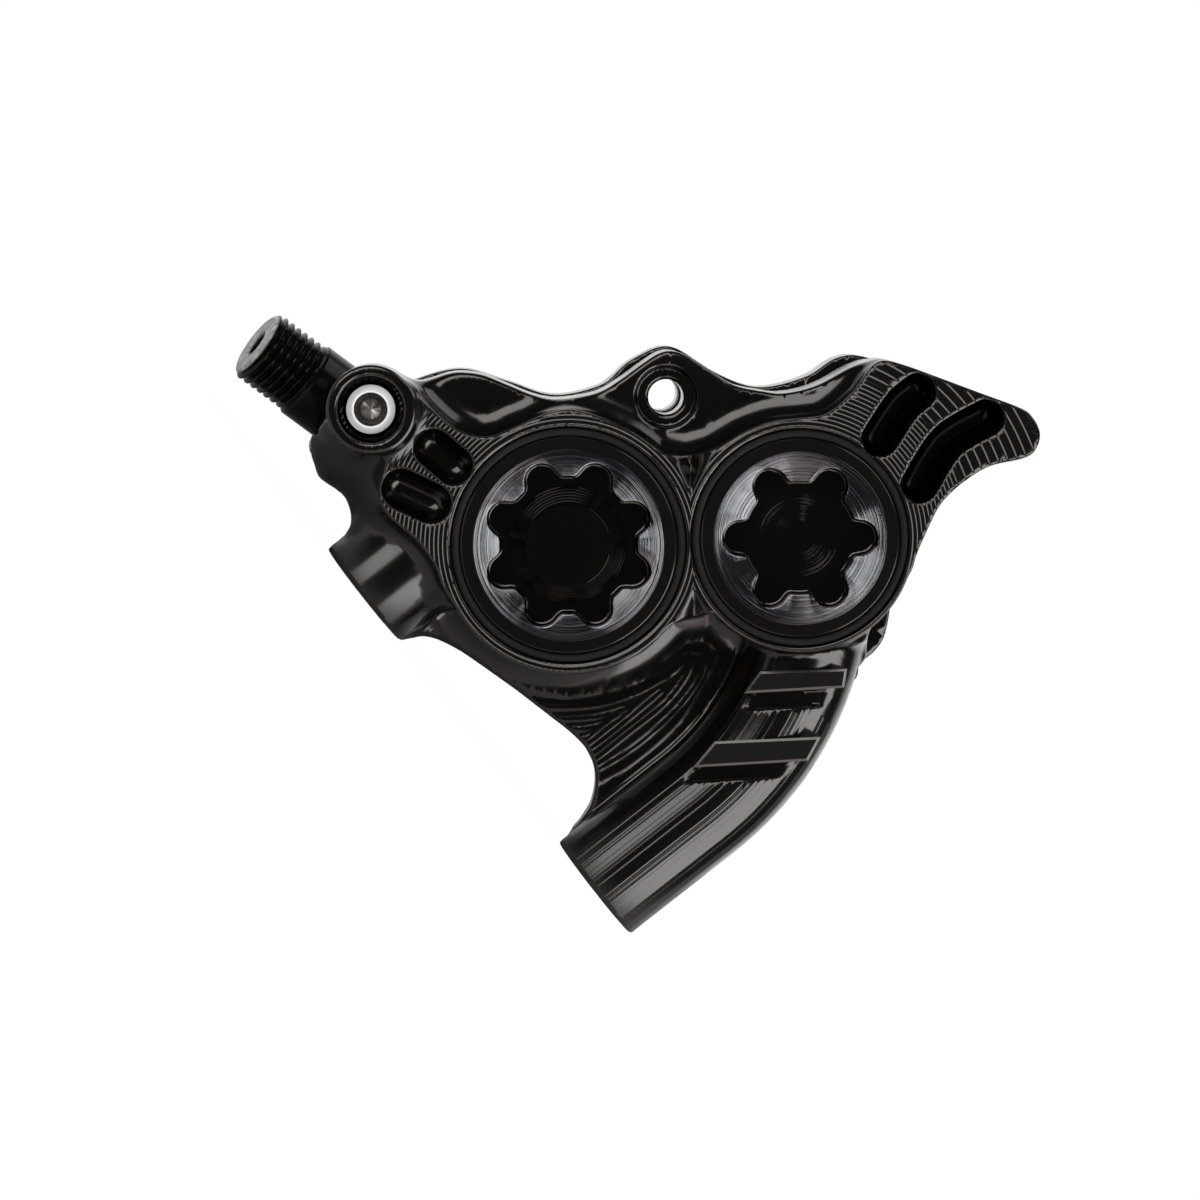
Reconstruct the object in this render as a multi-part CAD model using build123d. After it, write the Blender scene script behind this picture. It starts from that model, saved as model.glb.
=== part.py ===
from build123d import *
import math
import os

# Bicycle disc brake caliper with four pistons and flat mounting feet, in millimetres.
# The body is one machined block that straddles the disc. The origin lies midway between
# the two mounting bolts on the mounting face. +Z points away from the frame, +X runs from
# the foot on the hose side to the foot on the leg, and +Y points inboard. The bore caps
# face -Y. Everything is drawn about the plane of the disc, and write() then moves it by
# foot_offset, so that the bolts lie in the plane Y = 0.

# Mounting feet
foot_spacing = 34.0
foot_radius = 5.3
foot_bolt_radius = 2.1
foot_bolt_depth = 9.0
foot_offset = 11.0
front_foot_height = 9.0

# Side view: every place on it is a share of one span, and that span follows from the
# spacing of the feet. The second number of a share grows downwards.
front_foot_share = (0.365, 0.591)
rear_foot_share = (0.597, 0.887)
large_bore_share = (0.570, 0.538)
small_bore_share = (0.800, 0.531)
pin_hole_share = (0.668, 0.392)
bleed_boss_share = (0.374, 0.403)
inner_fin_lobe_share = (0.885, 0.410)

# Depths of the faces, outboard of the disc plane
ring_face_depth = 19.0
upper_web_depth = 14.1
shoulder_depth = 14.6
lower_web_depth = 10.4
pin_boss_depth = 14.8
bleed_boss_depth = 20.2
disc_slot_half_width = 2.5
pad_pocket_half_width = 5.25
disc_sweep_radius = 71.5
disc_centre_drop = 62.5

# Depths of the faces, inboard of the disc plane
inner_face_depth = 16.0
inner_web_depth = 12.6
inner_ring_wall = 2.3
inner_fin_lobe_radius = 3.2
inner_waist_radius = 5.6
bore_floor_thickness = 2.25

# Pistons and their seals
large_piston_radius = 9.0
small_piston_radius = 8.0
piston_wall = 1.6
piston_floor = 2.4
bore_clearance = 0.05
outer_oil_room_depth = 1.1
inner_oil_room_depth = 0.65
seal_groove_extra_radius = 1.4
seal_width = 2.0
seal_from_disc = 8.2
wiper_width = 1.0
wiper_from_disc = 6.0
wiper_groove_extra_radius = 1.2
seal_clearance = 0.04

# Bore caps
large_cap_radius = 9.8
small_cap_radius = 9.0
cap_thickness = 4.8
cap_thread_extra_radius = 0.1
cap_groove_width = 0.8
cap_groove_depth = 0.9
cap_face_drop = 0.1
ring_wall = 1.0
cap_rim_width = 1.2
cap_rim_drop = 0.5
socket_depth = 2.6
large_socket_tip_radius = 6.2
large_socket_lobe_radius = 1.35
large_socket_lobe_centre = 6.35
large_socket_lobes = 8
large_socket_turn = 29.4
small_socket_tip_radius = 5.2
small_socket_lobe_radius = 1.5
small_socket_lobe_centre = 5.4
small_socket_lobes = 6
small_socket_turn = 51.9
cap_boss_base_radius = 5.2
cap_boss_top_radius = 3.7
cap_dish_radius = 4.2
cap_dish_floor_radius = 1.4
cap_dish_depth = 0.6

# Pads
disc_gap = 1.3
lining_thickness = 2.0
plate_thickness = 1.8
pad_half_length = 18.4
pad_half_height = 7.5
pad_corner_radius = 3.0
lining_inset = 0.8
lining_slot_width = 1.2
lining_slot_depth = 1.0
pad_pocket_clearance = 0.25
pad_eye_radius = 3.1
pin_hole_radius = 1.6
pin_hole_mouth_radius = 2.7
pin_hole_mouth_depth = 0.8
pin_boss_radius = 4.7

# Pad spring
spring_thickness = 0.4
spring_half_width = 2.4
spring_leg_gap = 1.5
spring_top_over_pin = 2.25
spring_hole_radius = 1.8
spring_clearance = 0.05

# Bleed screw
bleed_boss_radius = 4.0
bleed_mouth_radius = 3.0
bleed_head_radius = 2.2
bleed_head_height = 2.6
bleed_head_drop = 0.9
bleed_shank_radius = 1.5
bleed_shank_length = 6.0
bleed_tip_length = 1.2
bleed_hex_flats = 2.5
bleed_hex_depth = 1.8
bleed_passage_radius = 0.7
bleed_clearance = 0.05
bleed_seal_wire_radius = 0.35
bleed_seal_seat_radius = 2.4
bleed_seal_seat_depth = 0.8
bleed_boss_foot_depth = 9.0

# Hose union
union_thread_radius = 3.5
union_thread_length = 5.6
union_shank_radius = 3.7
union_shank_length = 4.2
union_neck_radius = 2.4
union_neck_length = 5.0
union_bore_radius = 1.1
union_bevel = 0.5
union_tip_share = (0.256, 0.339)
union_seat_share = (0.345, 0.406)
union_seat_depth = 4.0
union_tilt = 14.0
union_washer_thickness = 0.6
union_washer_radius = 3.3
union_shoulder_radius = 4.6

# Oil gallery plug, in the inboard face of the left bridge
plug_share = (0.405, 0.432)
plug_radius = 2.0
plug_length = 4.0
plug_hex_flats = 2.0
plug_hex_depth = 2.0
plug_drop = 0.3
plug_gallery_radius = 1.0
gallery_radius = 0.7
gallery_clearance = 0.1
thread_clearance = 0.03

# Milling details on the body
pocket_floor_depth = 12.0
fin_pocket_floor_depth = 9.0
fin_back_depth = 7.0
rib_face_depth = 16.7
web_trough_depth = 8.2
inner_boss_height = 0.6
inner_edge_radius = 1.2
skirt_size = 2.5
overrun = 5.0

# Outlines on the side view, as runs that end where the next begins. A run of two places
# is straight, and a longer one is a smooth curve.
outer_half_shares = [
    [(0.411, 0.380), (0.462, 0.367), (0.511, 0.380), (0.558, 0.394), (0.608, 0.383),
     (0.642, 0.360), (0.675, 0.346), (0.713, 0.366), (0.764, 0.387), (0.819, 0.380),
     (0.857, 0.361), (0.886, 0.355)],
    [(0.886, 0.355), (0.922, 0.385), (0.926, 0.440), (0.914, 0.510), (0.906, 0.565)],
    [(0.906, 0.565), (0.889, 0.598), (0.872, 0.618)],
    [(0.872, 0.618), (0.866, 0.662)],
    [(0.866, 0.662), (0.720, 0.664)],
    [(0.720, 0.664), (0.570, 0.680), (0.446, 0.640)],
    [(0.446, 0.640), (0.408, 0.625), (0.372, 0.560), (0.358, 0.521)],
    [(0.358, 0.521), (0.345, 0.492), (0.318, 0.468), (0.313, 0.432), (0.330, 0.418)],
    [(0.330, 0.418), (0.411, 0.380)],
]
lower_web_shares = [
    [(0.425, 0.620), (0.446, 0.640), (0.514, 0.685), (0.572, 0.730), (0.598, 0.775),
     (0.584, 0.820)],
    [(0.584, 0.820), (0.660, 0.834)],
    [(0.660, 0.834), (0.760, 0.745), (0.815, 0.640)],
    [(0.815, 0.640), (0.425, 0.620)],
]
plateau_shares = [
    [(0.413, 0.381), (0.444, 0.411), (0.482, 0.430), (0.522, 0.421), (0.555, 0.404)],
    [(0.555, 0.404), (0.626, 0.423), (0.686, 0.490)],
    [(0.686, 0.490), (0.745, 0.425), (0.802, 0.415), (0.827, 0.407), (0.869, 0.364),
     (0.886, 0.355)],
    [(0.886, 0.355), (0.930, 0.369), (0.981, 0.388), (1.016, 0.401)],
    [(1.016, 0.401), (1.038, 0.427), (1.022, 0.452)],
    [(1.022, 0.452), (0.963, 0.475), (0.935, 0.505), (0.906, 0.565)],
    [(0.906, 0.565), (0.800, 0.640), (0.686, 0.575)],
    [(0.686, 0.575), (0.570, 0.664), (0.452, 0.588)],
    [(0.452, 0.588), (0.437, 0.559), (0.421, 0.536), (0.388, 0.510)],
    [(0.388, 0.510), (0.380, 0.440), (0.413, 0.381)],
]
inner_half_shares = [
    [(0.411, 0.378), (0.462, 0.365), (0.511, 0.378), (0.558, 0.392), (0.608, 0.381),
     (0.638, 0.358), (0.675, 0.344), (0.713, 0.364), (0.764, 0.385), (0.815, 0.374),
     (0.846, 0.355), (0.872, 0.352)],
    [(0.872, 0.352), (0.906, 0.366), (0.926, 0.400), (0.922, 0.460), (0.913, 0.530),
     (0.900, 0.605), (0.887, 0.640), (0.871, 0.655)],
    [(0.871, 0.655), (0.865, 0.681), (0.840, 0.690)],
    [(0.840, 0.690), (0.700, 0.672), (0.570, 0.680), (0.452, 0.614)],
    [(0.452, 0.614), (0.410, 0.560), (0.360, 0.505), (0.331, 0.486)],
    [(0.331, 0.486), (0.318, 0.452), (0.326, 0.422)],
    [(0.326, 0.422), (0.411, 0.378)],
]
inner_lobe_shares = [
    [(0.356, 0.500), (0.336, 0.450), (0.352, 0.404), (0.410, 0.388), (0.452, 0.398), (0.476, 0.440)],
    [(0.476, 0.440), (0.500, 0.600)],
    [(0.500, 0.600), (0.440, 0.585), (0.375, 0.516), (0.356, 0.500)],
]
foot_corner_shares = [
    [(0.350, 0.524), (0.392, 0.527), (0.424, 0.552), (0.440, 0.598), (0.455, 0.650)],
    [(0.455, 0.650), (0.350, 0.650)],
    [(0.350, 0.650), (0.350, 0.524)],
]
web_trough_shares = [
    [(0.590, 0.815), (0.606, 0.786), (0.662, 0.745), (0.708, 0.684), (0.730, 0.630)],
    [(0.730, 0.630), (0.800, 0.640)],
    [(0.800, 0.640), (0.760, 0.740), (0.680, 0.810)],
    [(0.680, 0.810), (0.590, 0.815)],
]
web_valley_shares = [
    [(0.405, 0.360), (0.444, 0.405), (0.486, 0.424), (0.555, 0.404), (0.626, 0.423),
     (0.686, 0.466), (0.745, 0.425), (0.800, 0.412), (0.850, 0.418), (0.905, 0.340)],
    [(0.905, 0.340), (0.405, 0.330)],
    [(0.405, 0.330), (0.405, 0.360)],
]
left_bridge_shares = [
    (0.326, 0.425), (0.411, 0.384), (0.456, 0.384), (0.456, 0.560), (0.326, 0.560),
]
right_bridge_shares = [
    (0.905, 0.372), (0.925, 0.398), (0.925, 0.560), (0.894, 0.560), (0.894, 0.372),
]
slot_a_shares = [(0.408, 0.490), (0.436, 0.498)]
slot_b_shares = [(0.442, 0.440), (0.456, 0.458)]
slot_c_shares = [(0.879, 0.432), (0.900, 0.400), (0.916, 0.386)]
slot_d_shares = [(0.920, 0.476), (0.945, 0.436), (0.984, 0.412)]
slot_a_radius = 1.25
slot_b_radius = 1.25
slot_c_radius = 1.3
slot_d_radius = 1.3
rib_shares = [
    [(0.761, 0.665), (0.854, 0.662), (0.854, 0.681), (0.745, 0.687)],
    [(0.716, 0.735), (0.829, 0.730), (0.818, 0.754), (0.694, 0.761)],
]

# The leg leaves its foot along the bolt, then curves towards the small bore
leg_straight_length = 12.1
leg_bend_radius = 27.0
leg_bend_angle = 46.0


def place(share):
    """Turn a place on the side view into X and Z."""
    mid_x = (front_foot_share[0] + rear_foot_share[0]) / 2
    mid_y = (front_foot_share[1] + rear_foot_share[1]) / 2
    run_x = rear_foot_share[0] - front_foot_share[0]
    run_y = rear_foot_share[1] - front_foot_share[1]
    run = math.hypot(run_x, run_y)
    span = foot_spacing / run
    along = ((share[0] - mid_x) * run_x + (share[1] - mid_y) * run_y) / run
    up = ((share[0] - mid_x) * run_y - (share[1] - mid_y) * run_x) / run
    return (along * span, up * span)


large_bore = place(large_bore_share)
small_bore = place(small_bore_share)
pin_hole = place(pin_hole_share)
bleed_place = place(bleed_boss_share)
bore_middle = ((large_bore[0] + small_bore[0]) / 2, (large_bore[1] + small_bore[1]) / 2)
bore_angle = math.degrees(math.atan2(small_bore[1] - large_bore[1], small_bore[0] - large_bore[0]))
bore_line = Location((bore_middle[0], 0, bore_middle[1]), (0, -bore_angle, 0))
plate_back = disc_gap + lining_thickness + plate_thickness
cap_seat_depth = ring_face_depth - cap_thickness
outer_piston_end = cap_seat_depth - outer_oil_room_depth
bore_end_depth = inner_face_depth - bore_floor_thickness
inner_piston_end = bore_end_depth - inner_oil_room_depth
piston_ends = {-1: outer_piston_end, 1: inner_piston_end}


def side_face(runs):
    """Make a face in the plane Y = 0 from runs of shares."""
    edges = []
    for run in runs:
        points = [place(share) for share in run]
        edges.append(Line(*points) if len(points) == 2 else Spline(*points))
    return Plane.XZ * make_face(Wire(edges))


def side_polygon(shares):
    """Make a straight-sided face in the plane Y = 0."""
    return Plane.XZ * make_face(Polyline(*[place(share) for share in shares], close=True))


def slab(face, outer, inner):
    """Give a side face its thickness, from Y = outer to Y = inner."""
    return Pos(0, inner, 0) * extrude(face, amount=inner - outer)


def barrel(centre, radius, outer, inner):
    """A cylinder along Y."""
    solid = Rot(90, 0, 0) * Cylinder(radius, inner - outer)
    return Pos(centre[0], (outer + inner) / 2, centre[1]) * solid


def tube(centre, radius, hole, outer, inner):
    """A ring along Y."""
    return barrel(centre, radius, outer, inner) - barrel(centre, hole, outer - overrun, inner + overrun)


def cone(centre, outer_radius, inner_radius, outer, inner):
    """A cone along Y, with its first radius at Y = outer."""
    solid = Rot(90, 0, 0) * Cone(inner_radius, outer_radius, inner - outer)
    return Pos(centre[0], (outer + inner) / 2, centre[1]) * solid


def hexagon(centre, flats, outer, inner):
    """A hexagonal prism along Y."""
    face = Plane.XZ * Pos(centre[0], centre[1]) * RegularPolygon(flats / 2, 6, major_radius=False)
    return slab(face, outer, inner)


def round_slot(shares, radius, outer, inner):
    """A slot along Y with round ends, through two or three places."""
    points = [place(share) for share in shares]
    path = Line(*points) if len(points) == 2 else ThreePointArc(*points)
    return slab(Plane.XZ * SlotArc(path, 2 * radius), outer, inner)


def lobed_socket(centre, tip_radius, lobe_radius, lobe_centre, lobes, turn, outer, inner):
    """The driving socket of a bore cap: a round hole with round lobes about it."""
    socket = barrel(centre, tip_radius, outer, inner)
    for number in range(lobes):
        angle = math.radians(turn + number * 360 / lobes)
        spot_x = centre[0] + lobe_centre * math.cos(angle)
        spot_z = centre[1] + lobe_centre * math.sin(angle)
        spot = (spot_x, spot_z)
        socket += barrel(spot, lobe_radius, outer, inner)
    return socket


def pad_outline(grow):
    """The side view of a pad: a rounded plate with an eye for the pin, grown by a margin."""
    plate = bore_line * (Plane.XZ * RectangleRounded(
        2 * (pad_half_length + grow), 2 * (pad_half_height + grow), pad_corner_radius + grow))
    eye = Plane.XZ * Pos(*pin_hole) * Circle(pad_eye_radius + grow)
    neck_length = math.dist(pin_hole, bore_middle)
    neck_middle = ((pin_hole[0] + bore_middle[0]) / 2, (pin_hole[1] + bore_middle[1]) / 2)
    neck_face = Rectangle(neck_length, 2 * (pad_eye_radius + grow))
    neck = Plane.XZ * Pos(*neck_middle) * Rot(0, 0, pin_angle()) * neck_face
    return plate + eye + neck


# Bore positions with their pistons and caps, as (centre, piston radius, cap radius)
bores = {
    "large": (large_bore, large_piston_radius, large_cap_radius),
    "small": (small_bore, small_piston_radius, small_cap_radius),
}
sides = {"outer": -1, "inner": 1}


def depth_range(side, start, end):
    """Order two distances from the disc plane as outer and inner Y on one side."""
    return sorted((side * start, side * end))


def leg_path():
    """The centre line of the leg, from its foot up to the small bore."""
    foot = Vector(foot_spacing / 2, -foot_offset, 0)
    bend_start = foot + Vector(0, 0, leg_straight_length)
    turn = math.radians(leg_bend_angle)
    bend_centre = bend_start - Vector(leg_bend_radius, 0, 0)
    bend_middle = bend_centre + Vector(math.cos(turn / 2), 0, math.sin(turn / 2)) * leg_bend_radius
    bend_end = bend_centre + Vector(math.cos(turn), 0, math.sin(turn)) * leg_bend_radius
    return Wire([Line(foot, bend_start), ThreePointArc(bend_start, bend_middle, bend_end)])


def leg():
    """The round bar that carries the rear foot."""
    path = leg_path()
    section = Pos(foot_spacing / 2, -foot_offset, 0) * Circle(foot_radius)
    return sweep(section, path=path)


def front_foot():
    """The short round foot on the hose side."""
    bar = Cylinder(foot_radius, front_foot_height, align=(Align.CENTER, Align.CENTER, Align.MIN))
    return Pos(-foot_spacing / 2, -foot_offset, 0) * bar


def ring_radius(cap_radius):
    """The radius of the groove wall round a bore cap."""
    return cap_radius + cap_groove_width


def raised_rings():
    """The two round walls that hold the bore caps, each with a sloping skirt at its foot."""
    rings = Part()
    for centre, _, cap_radius in bores.values():
        outside = ring_radius(cap_radius) + ring_wall
        rings += barrel(centre, outside, -ring_face_depth, -disc_slot_half_width)
        skirt_top = -upper_web_depth - skirt_size
        rings += cone(centre, outside, outside + skirt_size, skirt_top, -upper_web_depth)
    return rings


def union_frame():
    """The place of the hose union: its origin at the seat, and +Z out along the hose."""
    seat_x, seat_z = place(union_seat_share)
    tip_x, tip_z = place(union_tip_share)
    flat = Vector(tip_x - seat_x, 0, tip_z - seat_z).normalized()
    tilt = math.radians(union_tilt)
    out = flat * math.cos(tilt) - Vector(0, math.sin(tilt), 0)
    return Plane(origin=(seat_x, -union_seat_depth, seat_z), z_dir=out)


def along_union(radius, start, end):
    """A cylinder on the axis of the hose union, from one distance to another."""
    rod = Cylinder(radius, end - start, align=(Align.CENTER, Align.CENTER, Align.MIN))
    return union_frame() * Pos(0, 0, start) * rod


def lower_web():
    """The web between the bores and the leg, with a trough along the leg."""
    web = slab(side_face(lower_web_shares), -lower_web_depth, -pad_pocket_half_width)
    return web - slab(side_face(web_trough_shares), -lower_web_depth - overrun, -web_trough_depth)


def outer_half():
    """The half of the body that faces outboard, with its walls, fin, leg and feet."""
    outline = side_face(outer_half_shares)
    half = slab(outline, -shoulder_depth, -disc_slot_half_width)
    half -= slab(side_face(web_valley_shares), -shoulder_depth - overrun, -upper_web_depth)
    half -= slab(side_face(foot_corner_shares), -shoulder_depth - overrun, -foot_offset)
    half += slab(side_face(plateau_shares), -ring_face_depth, -fin_back_depth)
    half += raised_rings() & slab(outline, -ring_face_depth, -disc_slot_half_width)
    half += lower_web()
    half += leg() + front_foot()
    for shares in rib_shares:
        half += slab(side_polygon(shares), -rib_face_depth, -lower_web_depth)
    half += barrel(pin_hole, pin_boss_radius, -pin_boss_depth, -disc_slot_half_width)
    half += barrel(bleed_place, bleed_boss_radius, -bleed_boss_depth, -bleed_boss_foot_depth)
    return half


def rounded_top(form):
    """A form whose inboard face has a rounded edge."""
    return fillet(form.edges().group_by(Axis.Y)[-1], inner_edge_radius)


def inner_plateau():
    """The high inboard face: round both bores, out to the plug and towards the right bridge."""
    depths = (disc_slot_half_width, inner_face_depth)
    plateau = rounded_top(slab(side_face(inner_lobe_shares), *depths))
    for centre, piston_radius, _ in bores.values():
        plateau += rounded_top(barrel(centre, piston_radius + inner_ring_wall, *depths))
    fin_lobe = [inner_fin_lobe_share, small_bore_share]
    plateau += rounded_top(round_slot(fin_lobe, inner_fin_lobe_radius, *depths))
    waist = [large_bore_share, small_bore_share]
    plateau += rounded_top(round_slot(waist, inner_waist_radius, *depths))
    return plateau & rounded_top(slab(side_face(inner_half_shares), *depths))


def inner_half():
    """The half of the body that faces inboard, with its web about the high face."""
    web = rounded_top(slab(side_face(inner_half_shares), disc_slot_half_width, inner_web_depth))
    boss_face = inner_web_depth + inner_boss_height
    return web + inner_plateau() + barrel(pin_hole, pin_boss_radius, disc_slot_half_width, boss_face)


def bridges():
    """The two bridges over the edge of the disc."""
    reach = disc_slot_half_width
    left = slab(side_polygon(left_bridge_shares), -reach, reach)
    right = slab(side_polygon(right_bridge_shares), -reach, reach)
    return (left + right) & slab(side_face(inner_half_shares), -reach, reach)


def disc_sweep():
    """The room in which the disc turns."""
    angle = math.radians(bore_angle - 90)
    centre_x = bore_middle[0] + disc_centre_drop * math.cos(angle)
    centre_z = bore_middle[1] + disc_centre_drop * math.sin(angle)
    return barrel((centre_x, centre_z), disc_sweep_radius, -disc_slot_half_width, disc_slot_half_width)


def pad_pocket():
    """The pocket in which the pads slide, open to the top between the bridges."""
    reach = pad_pocket_half_width
    return slab(pad_outline(pad_pocket_clearance), -reach, reach)


def bore_cuts():
    """Piston bores with their seal grooves, and the threaded mouths for the caps."""
    cuts = Part()
    for centre, piston_radius, cap_radius in bores.values():
        bore_radius = piston_radius + bore_clearance
        cuts += barrel(centre, bore_radius, -cap_seat_depth, bore_end_depth)
        thread_radius = cap_radius + cap_thread_extra_radius
        cuts += barrel(centre, thread_radius, -ring_face_depth - overrun, -cap_seat_depth)
        groove_end = cap_groove_depth - ring_face_depth
        cuts += barrel(centre, ring_radius(cap_radius), -ring_face_depth - overrun, groove_end)
        for side in sides.values():
            seal_radius = piston_radius + seal_groove_extra_radius
            seal_range = depth_range(side, seal_from_disc, seal_from_disc + seal_width)
            cuts += barrel(centre, seal_radius, *seal_range)
            wiper_radius = piston_radius + wiper_groove_extra_radius
            wiper_range = depth_range(side, wiper_from_disc, wiper_from_disc + wiper_width)
            cuts += barrel(centre, wiper_radius, *wiper_range)
    return cuts


def foot_holes():
    """Threaded holes for the mounting bolts."""
    holes = Part()
    for x in (-foot_spacing / 2, foot_spacing / 2):
        hole = Cylinder(foot_bolt_radius, foot_bolt_depth, align=(Align.CENTER, Align.CENTER, Align.MIN))
        holes += Pos(x, -foot_offset, 0) * hole
    return holes


def pin_hole_cut():
    """The hole for the pad pin, with a recessed mouth on the outboard side."""
    through = barrel(pin_hole, pin_hole_radius, -ring_face_depth, inner_face_depth)
    mouth_floor = pin_hole_mouth_depth - pin_boss_depth
    mouth = barrel(pin_hole, pin_hole_mouth_radius, -ring_face_depth, mouth_floor)
    return through + mouth


def bleed_cut():
    """The mouth, the threaded hole and the passage of the bleed screw."""
    head_top = bleed_head_drop - bleed_boss_depth
    head_seat = head_top + bleed_head_height
    shank_end = head_seat + bleed_shank_length
    cut = barrel(bleed_place, bleed_mouth_radius, -bleed_boss_depth - overrun, head_seat)
    cut += barrel(bleed_place, bleed_seal_seat_radius, head_seat, head_seat + bleed_seal_seat_depth)
    cut += barrel(bleed_place, bleed_shank_radius + bleed_clearance, head_seat, shank_end)
    return cut + barrel(bleed_place, bleed_passage_radius, shank_end, shank_end + bleed_tip_length)


def pockets():
    """Lightening pockets beside the large bore and in the fin."""
    cuts = round_slot(slot_a_shares, slot_a_radius, -ring_face_depth - overrun, -pocket_floor_depth)
    cuts += round_slot(slot_b_shares, slot_b_radius, -ring_face_depth - overrun, -pocket_floor_depth)
    cuts += round_slot(slot_c_shares, slot_c_radius, -ring_face_depth - overrun, -fin_pocket_floor_depth)
    cuts += round_slot(slot_d_shares, slot_d_radius, -ring_face_depth - overrun, -fin_pocket_floor_depth)
    return cuts


def union_hole():
    """The seat of the hose union, with the threaded hole below it."""
    seat = along_union(union_shank_radius + bore_clearance, 0, union_shank_length + union_thread_length)
    neck = along_union(union_neck_radius + thread_clearance, -union_neck_length, overrun)
    return seat + neck


def drilling(start, end, radius):
    """A straight drilled hole between two points."""
    run = end - start
    rod = Cylinder(radius, run.length, align=(Align.CENTER, Align.CENTER, Align.MIN))
    return Plane(origin=start, z_dir=run) * rod


def galleries():
    """The oil drillings: from the union to both large bores, and on to the small bores."""
    union_end = union_frame().origin - union_frame().z_dir * union_neck_length
    plug_x, plug_z = place(plug_share)
    cuts = Part()
    for side in sides.values():
        depth = side * (piston_ends[side] + gallery_clearance)
        large = Vector(large_bore[0], depth, large_bore[1])
        small = Vector(small_bore[0], depth, small_bore[1])
        source = Vector(plug_x, depth, plug_z) if side > 0 else union_end
        cuts += drilling(source, large, gallery_radius) + drilling(large, small, gallery_radius)
    return cuts


def plug_hole():
    """The mouth of the oil gallery under its plug, and the gallery behind it."""
    plug_place = place(plug_share)
    mouth_floor = inner_face_depth - plug_drop - plug_length
    mouth = barrel(plug_place, plug_radius + thread_clearance, mouth_floor, inner_face_depth + overrun)
    return mouth + barrel(plug_place, plug_gallery_radius, -union_seat_depth, mouth_floor)


def caliper_body():
    """The machined block, with everything cut into it."""
    body = outer_half() + inner_half() + bridges()
    body += along_union(union_shoulder_radius, -union_neck_length, 0)
    body -= disc_sweep()
    body -= pad_pocket()
    body -= bore_cuts()
    body -= foot_holes()
    body -= pin_hole_cut()
    body -= bleed_cut()
    body -= pockets()
    body -= union_hole()
    body -= plug_hole()
    body -= galleries()
    return body


def bore_cap(centre, cap_radius, socket):
    """A threaded cap that closes an outboard bore."""
    face = cap_face_drop - ring_face_depth
    rim = cone(centre, cap_radius - cap_rim_width, cap_radius, face, face + cap_rim_drop)
    cap = rim + barrel(centre, cap_radius, face + cap_rim_drop, -cap_seat_depth)
    return cap - socket


def large_bore_cap():
    """The cap of the large bore, with a turned boss in its socket."""
    face = cap_face_drop - ring_face_depth
    socket = lobed_socket(large_bore, large_socket_tip_radius, large_socket_lobe_radius,
                          large_socket_lobe_centre, large_socket_lobes, large_socket_turn,
                          face - overrun, face + socket_depth)
    cap = bore_cap(large_bore, large_cap_radius, socket)
    return cap + cone(large_bore, cap_boss_top_radius, cap_boss_base_radius, face, face + socket_depth)


def small_bore_cap():
    """The cap of the small bore, with a dished floor in its socket."""
    face = cap_face_drop - ring_face_depth
    socket = lobed_socket(small_bore, small_socket_tip_radius, small_socket_lobe_radius,
                          small_socket_lobe_centre, small_socket_lobes, small_socket_turn,
                          face - overrun, face + socket_depth)
    dish = cone(small_bore, cap_dish_radius, cap_dish_floor_radius, face + socket_depth,
                face + socket_depth + cap_dish_depth)
    return bore_cap(small_bore, small_cap_radius, socket) - dish


def cap_oring(centre, cap_radius):
    """The ring that seals the groove round a cap."""
    wire_radius = cap_groove_width / 2 - seal_clearance
    ring = Rot(90, 0, 0) * Torus(cap_radius + cap_groove_width / 2, wire_radius)
    return Pos(centre[0], cap_groove_depth - wire_radius - ring_face_depth, centre[1]) * ring


def piston(centre, radius, side):
    """A cup-shaped piston, open towards the pad."""
    end = piston_ends[side]
    cup = barrel(centre, radius, *depth_range(side, plate_back, end))
    hollow = barrel(centre, radius - piston_wall, *depth_range(side, disc_gap, end - piston_floor))
    return cup - hollow


def ring_seal(centre, piston_radius, groove_extra_radius, width, from_disc, side):
    """A seal or a wiper in its groove round a piston."""
    outer, inner = depth_range(side, from_disc + seal_clearance, from_disc + width - seal_clearance)
    outside = piston_radius + groove_extra_radius - seal_clearance
    return tube(centre, outside, piston_radius + seal_clearance, outer, inner)


def pad_plate(side):
    """The steel backing plate of a pad, with the eye for the pin."""
    start = disc_gap + lining_thickness
    plate = slab(pad_outline(0), *depth_range(side, start, start + plate_thickness))
    return plate - barrel(pin_hole, pin_hole_radius + bore_clearance, -ring_face_depth, ring_face_depth)


def pad_lining(side):
    """The friction block of a pad, with a slot across its middle."""
    block = bore_line * (Plane.XZ * RectangleRounded(
        2 * (pad_half_length - lining_inset), 2 * (pad_half_height - lining_inset), pad_corner_radius))
    groove = bore_line * (Plane.XZ * Rectangle(lining_slot_width, 2 * (pad_half_height + overrun)))
    lining = slab(block, *depth_range(side, disc_gap, disc_gap + lining_thickness))
    return lining - slab(groove, *depth_range(side, 0, disc_gap + lining_slot_depth))


def pad_spring():
    """The leaf that keeps the pads apart: a channel open to the disc, with holes for the pin."""
    reach = disc_gap + lining_thickness - spring_clearance
    top = math.dist(pin_hole, bore_middle) + spring_top_over_pin
    leg_start = pad_half_height + spring_leg_gap
    height = top - leg_start
    frame = Location((bore_middle[0], 0, bore_middle[1]), (0, -pin_angle(), 0))
    middle = leg_start + height / 2
    block = frame * Pos(middle, 0, 0) * Box(height, 2 * reach, 2 * spring_half_width)
    room = frame * Pos(middle - spring_thickness, 0, 0) * Box(
        height, 2 * (reach - spring_thickness), 2 * spring_half_width)
    return block - room - barrel(pin_hole, spring_hole_radius, -reach, reach)


def pin_angle():
    """The direction from the middle of the bores to the pin hole, in degrees."""
    return math.degrees(math.atan2(pin_hole[1] - bore_middle[1], pin_hole[0] - bore_middle[0]))


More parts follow.
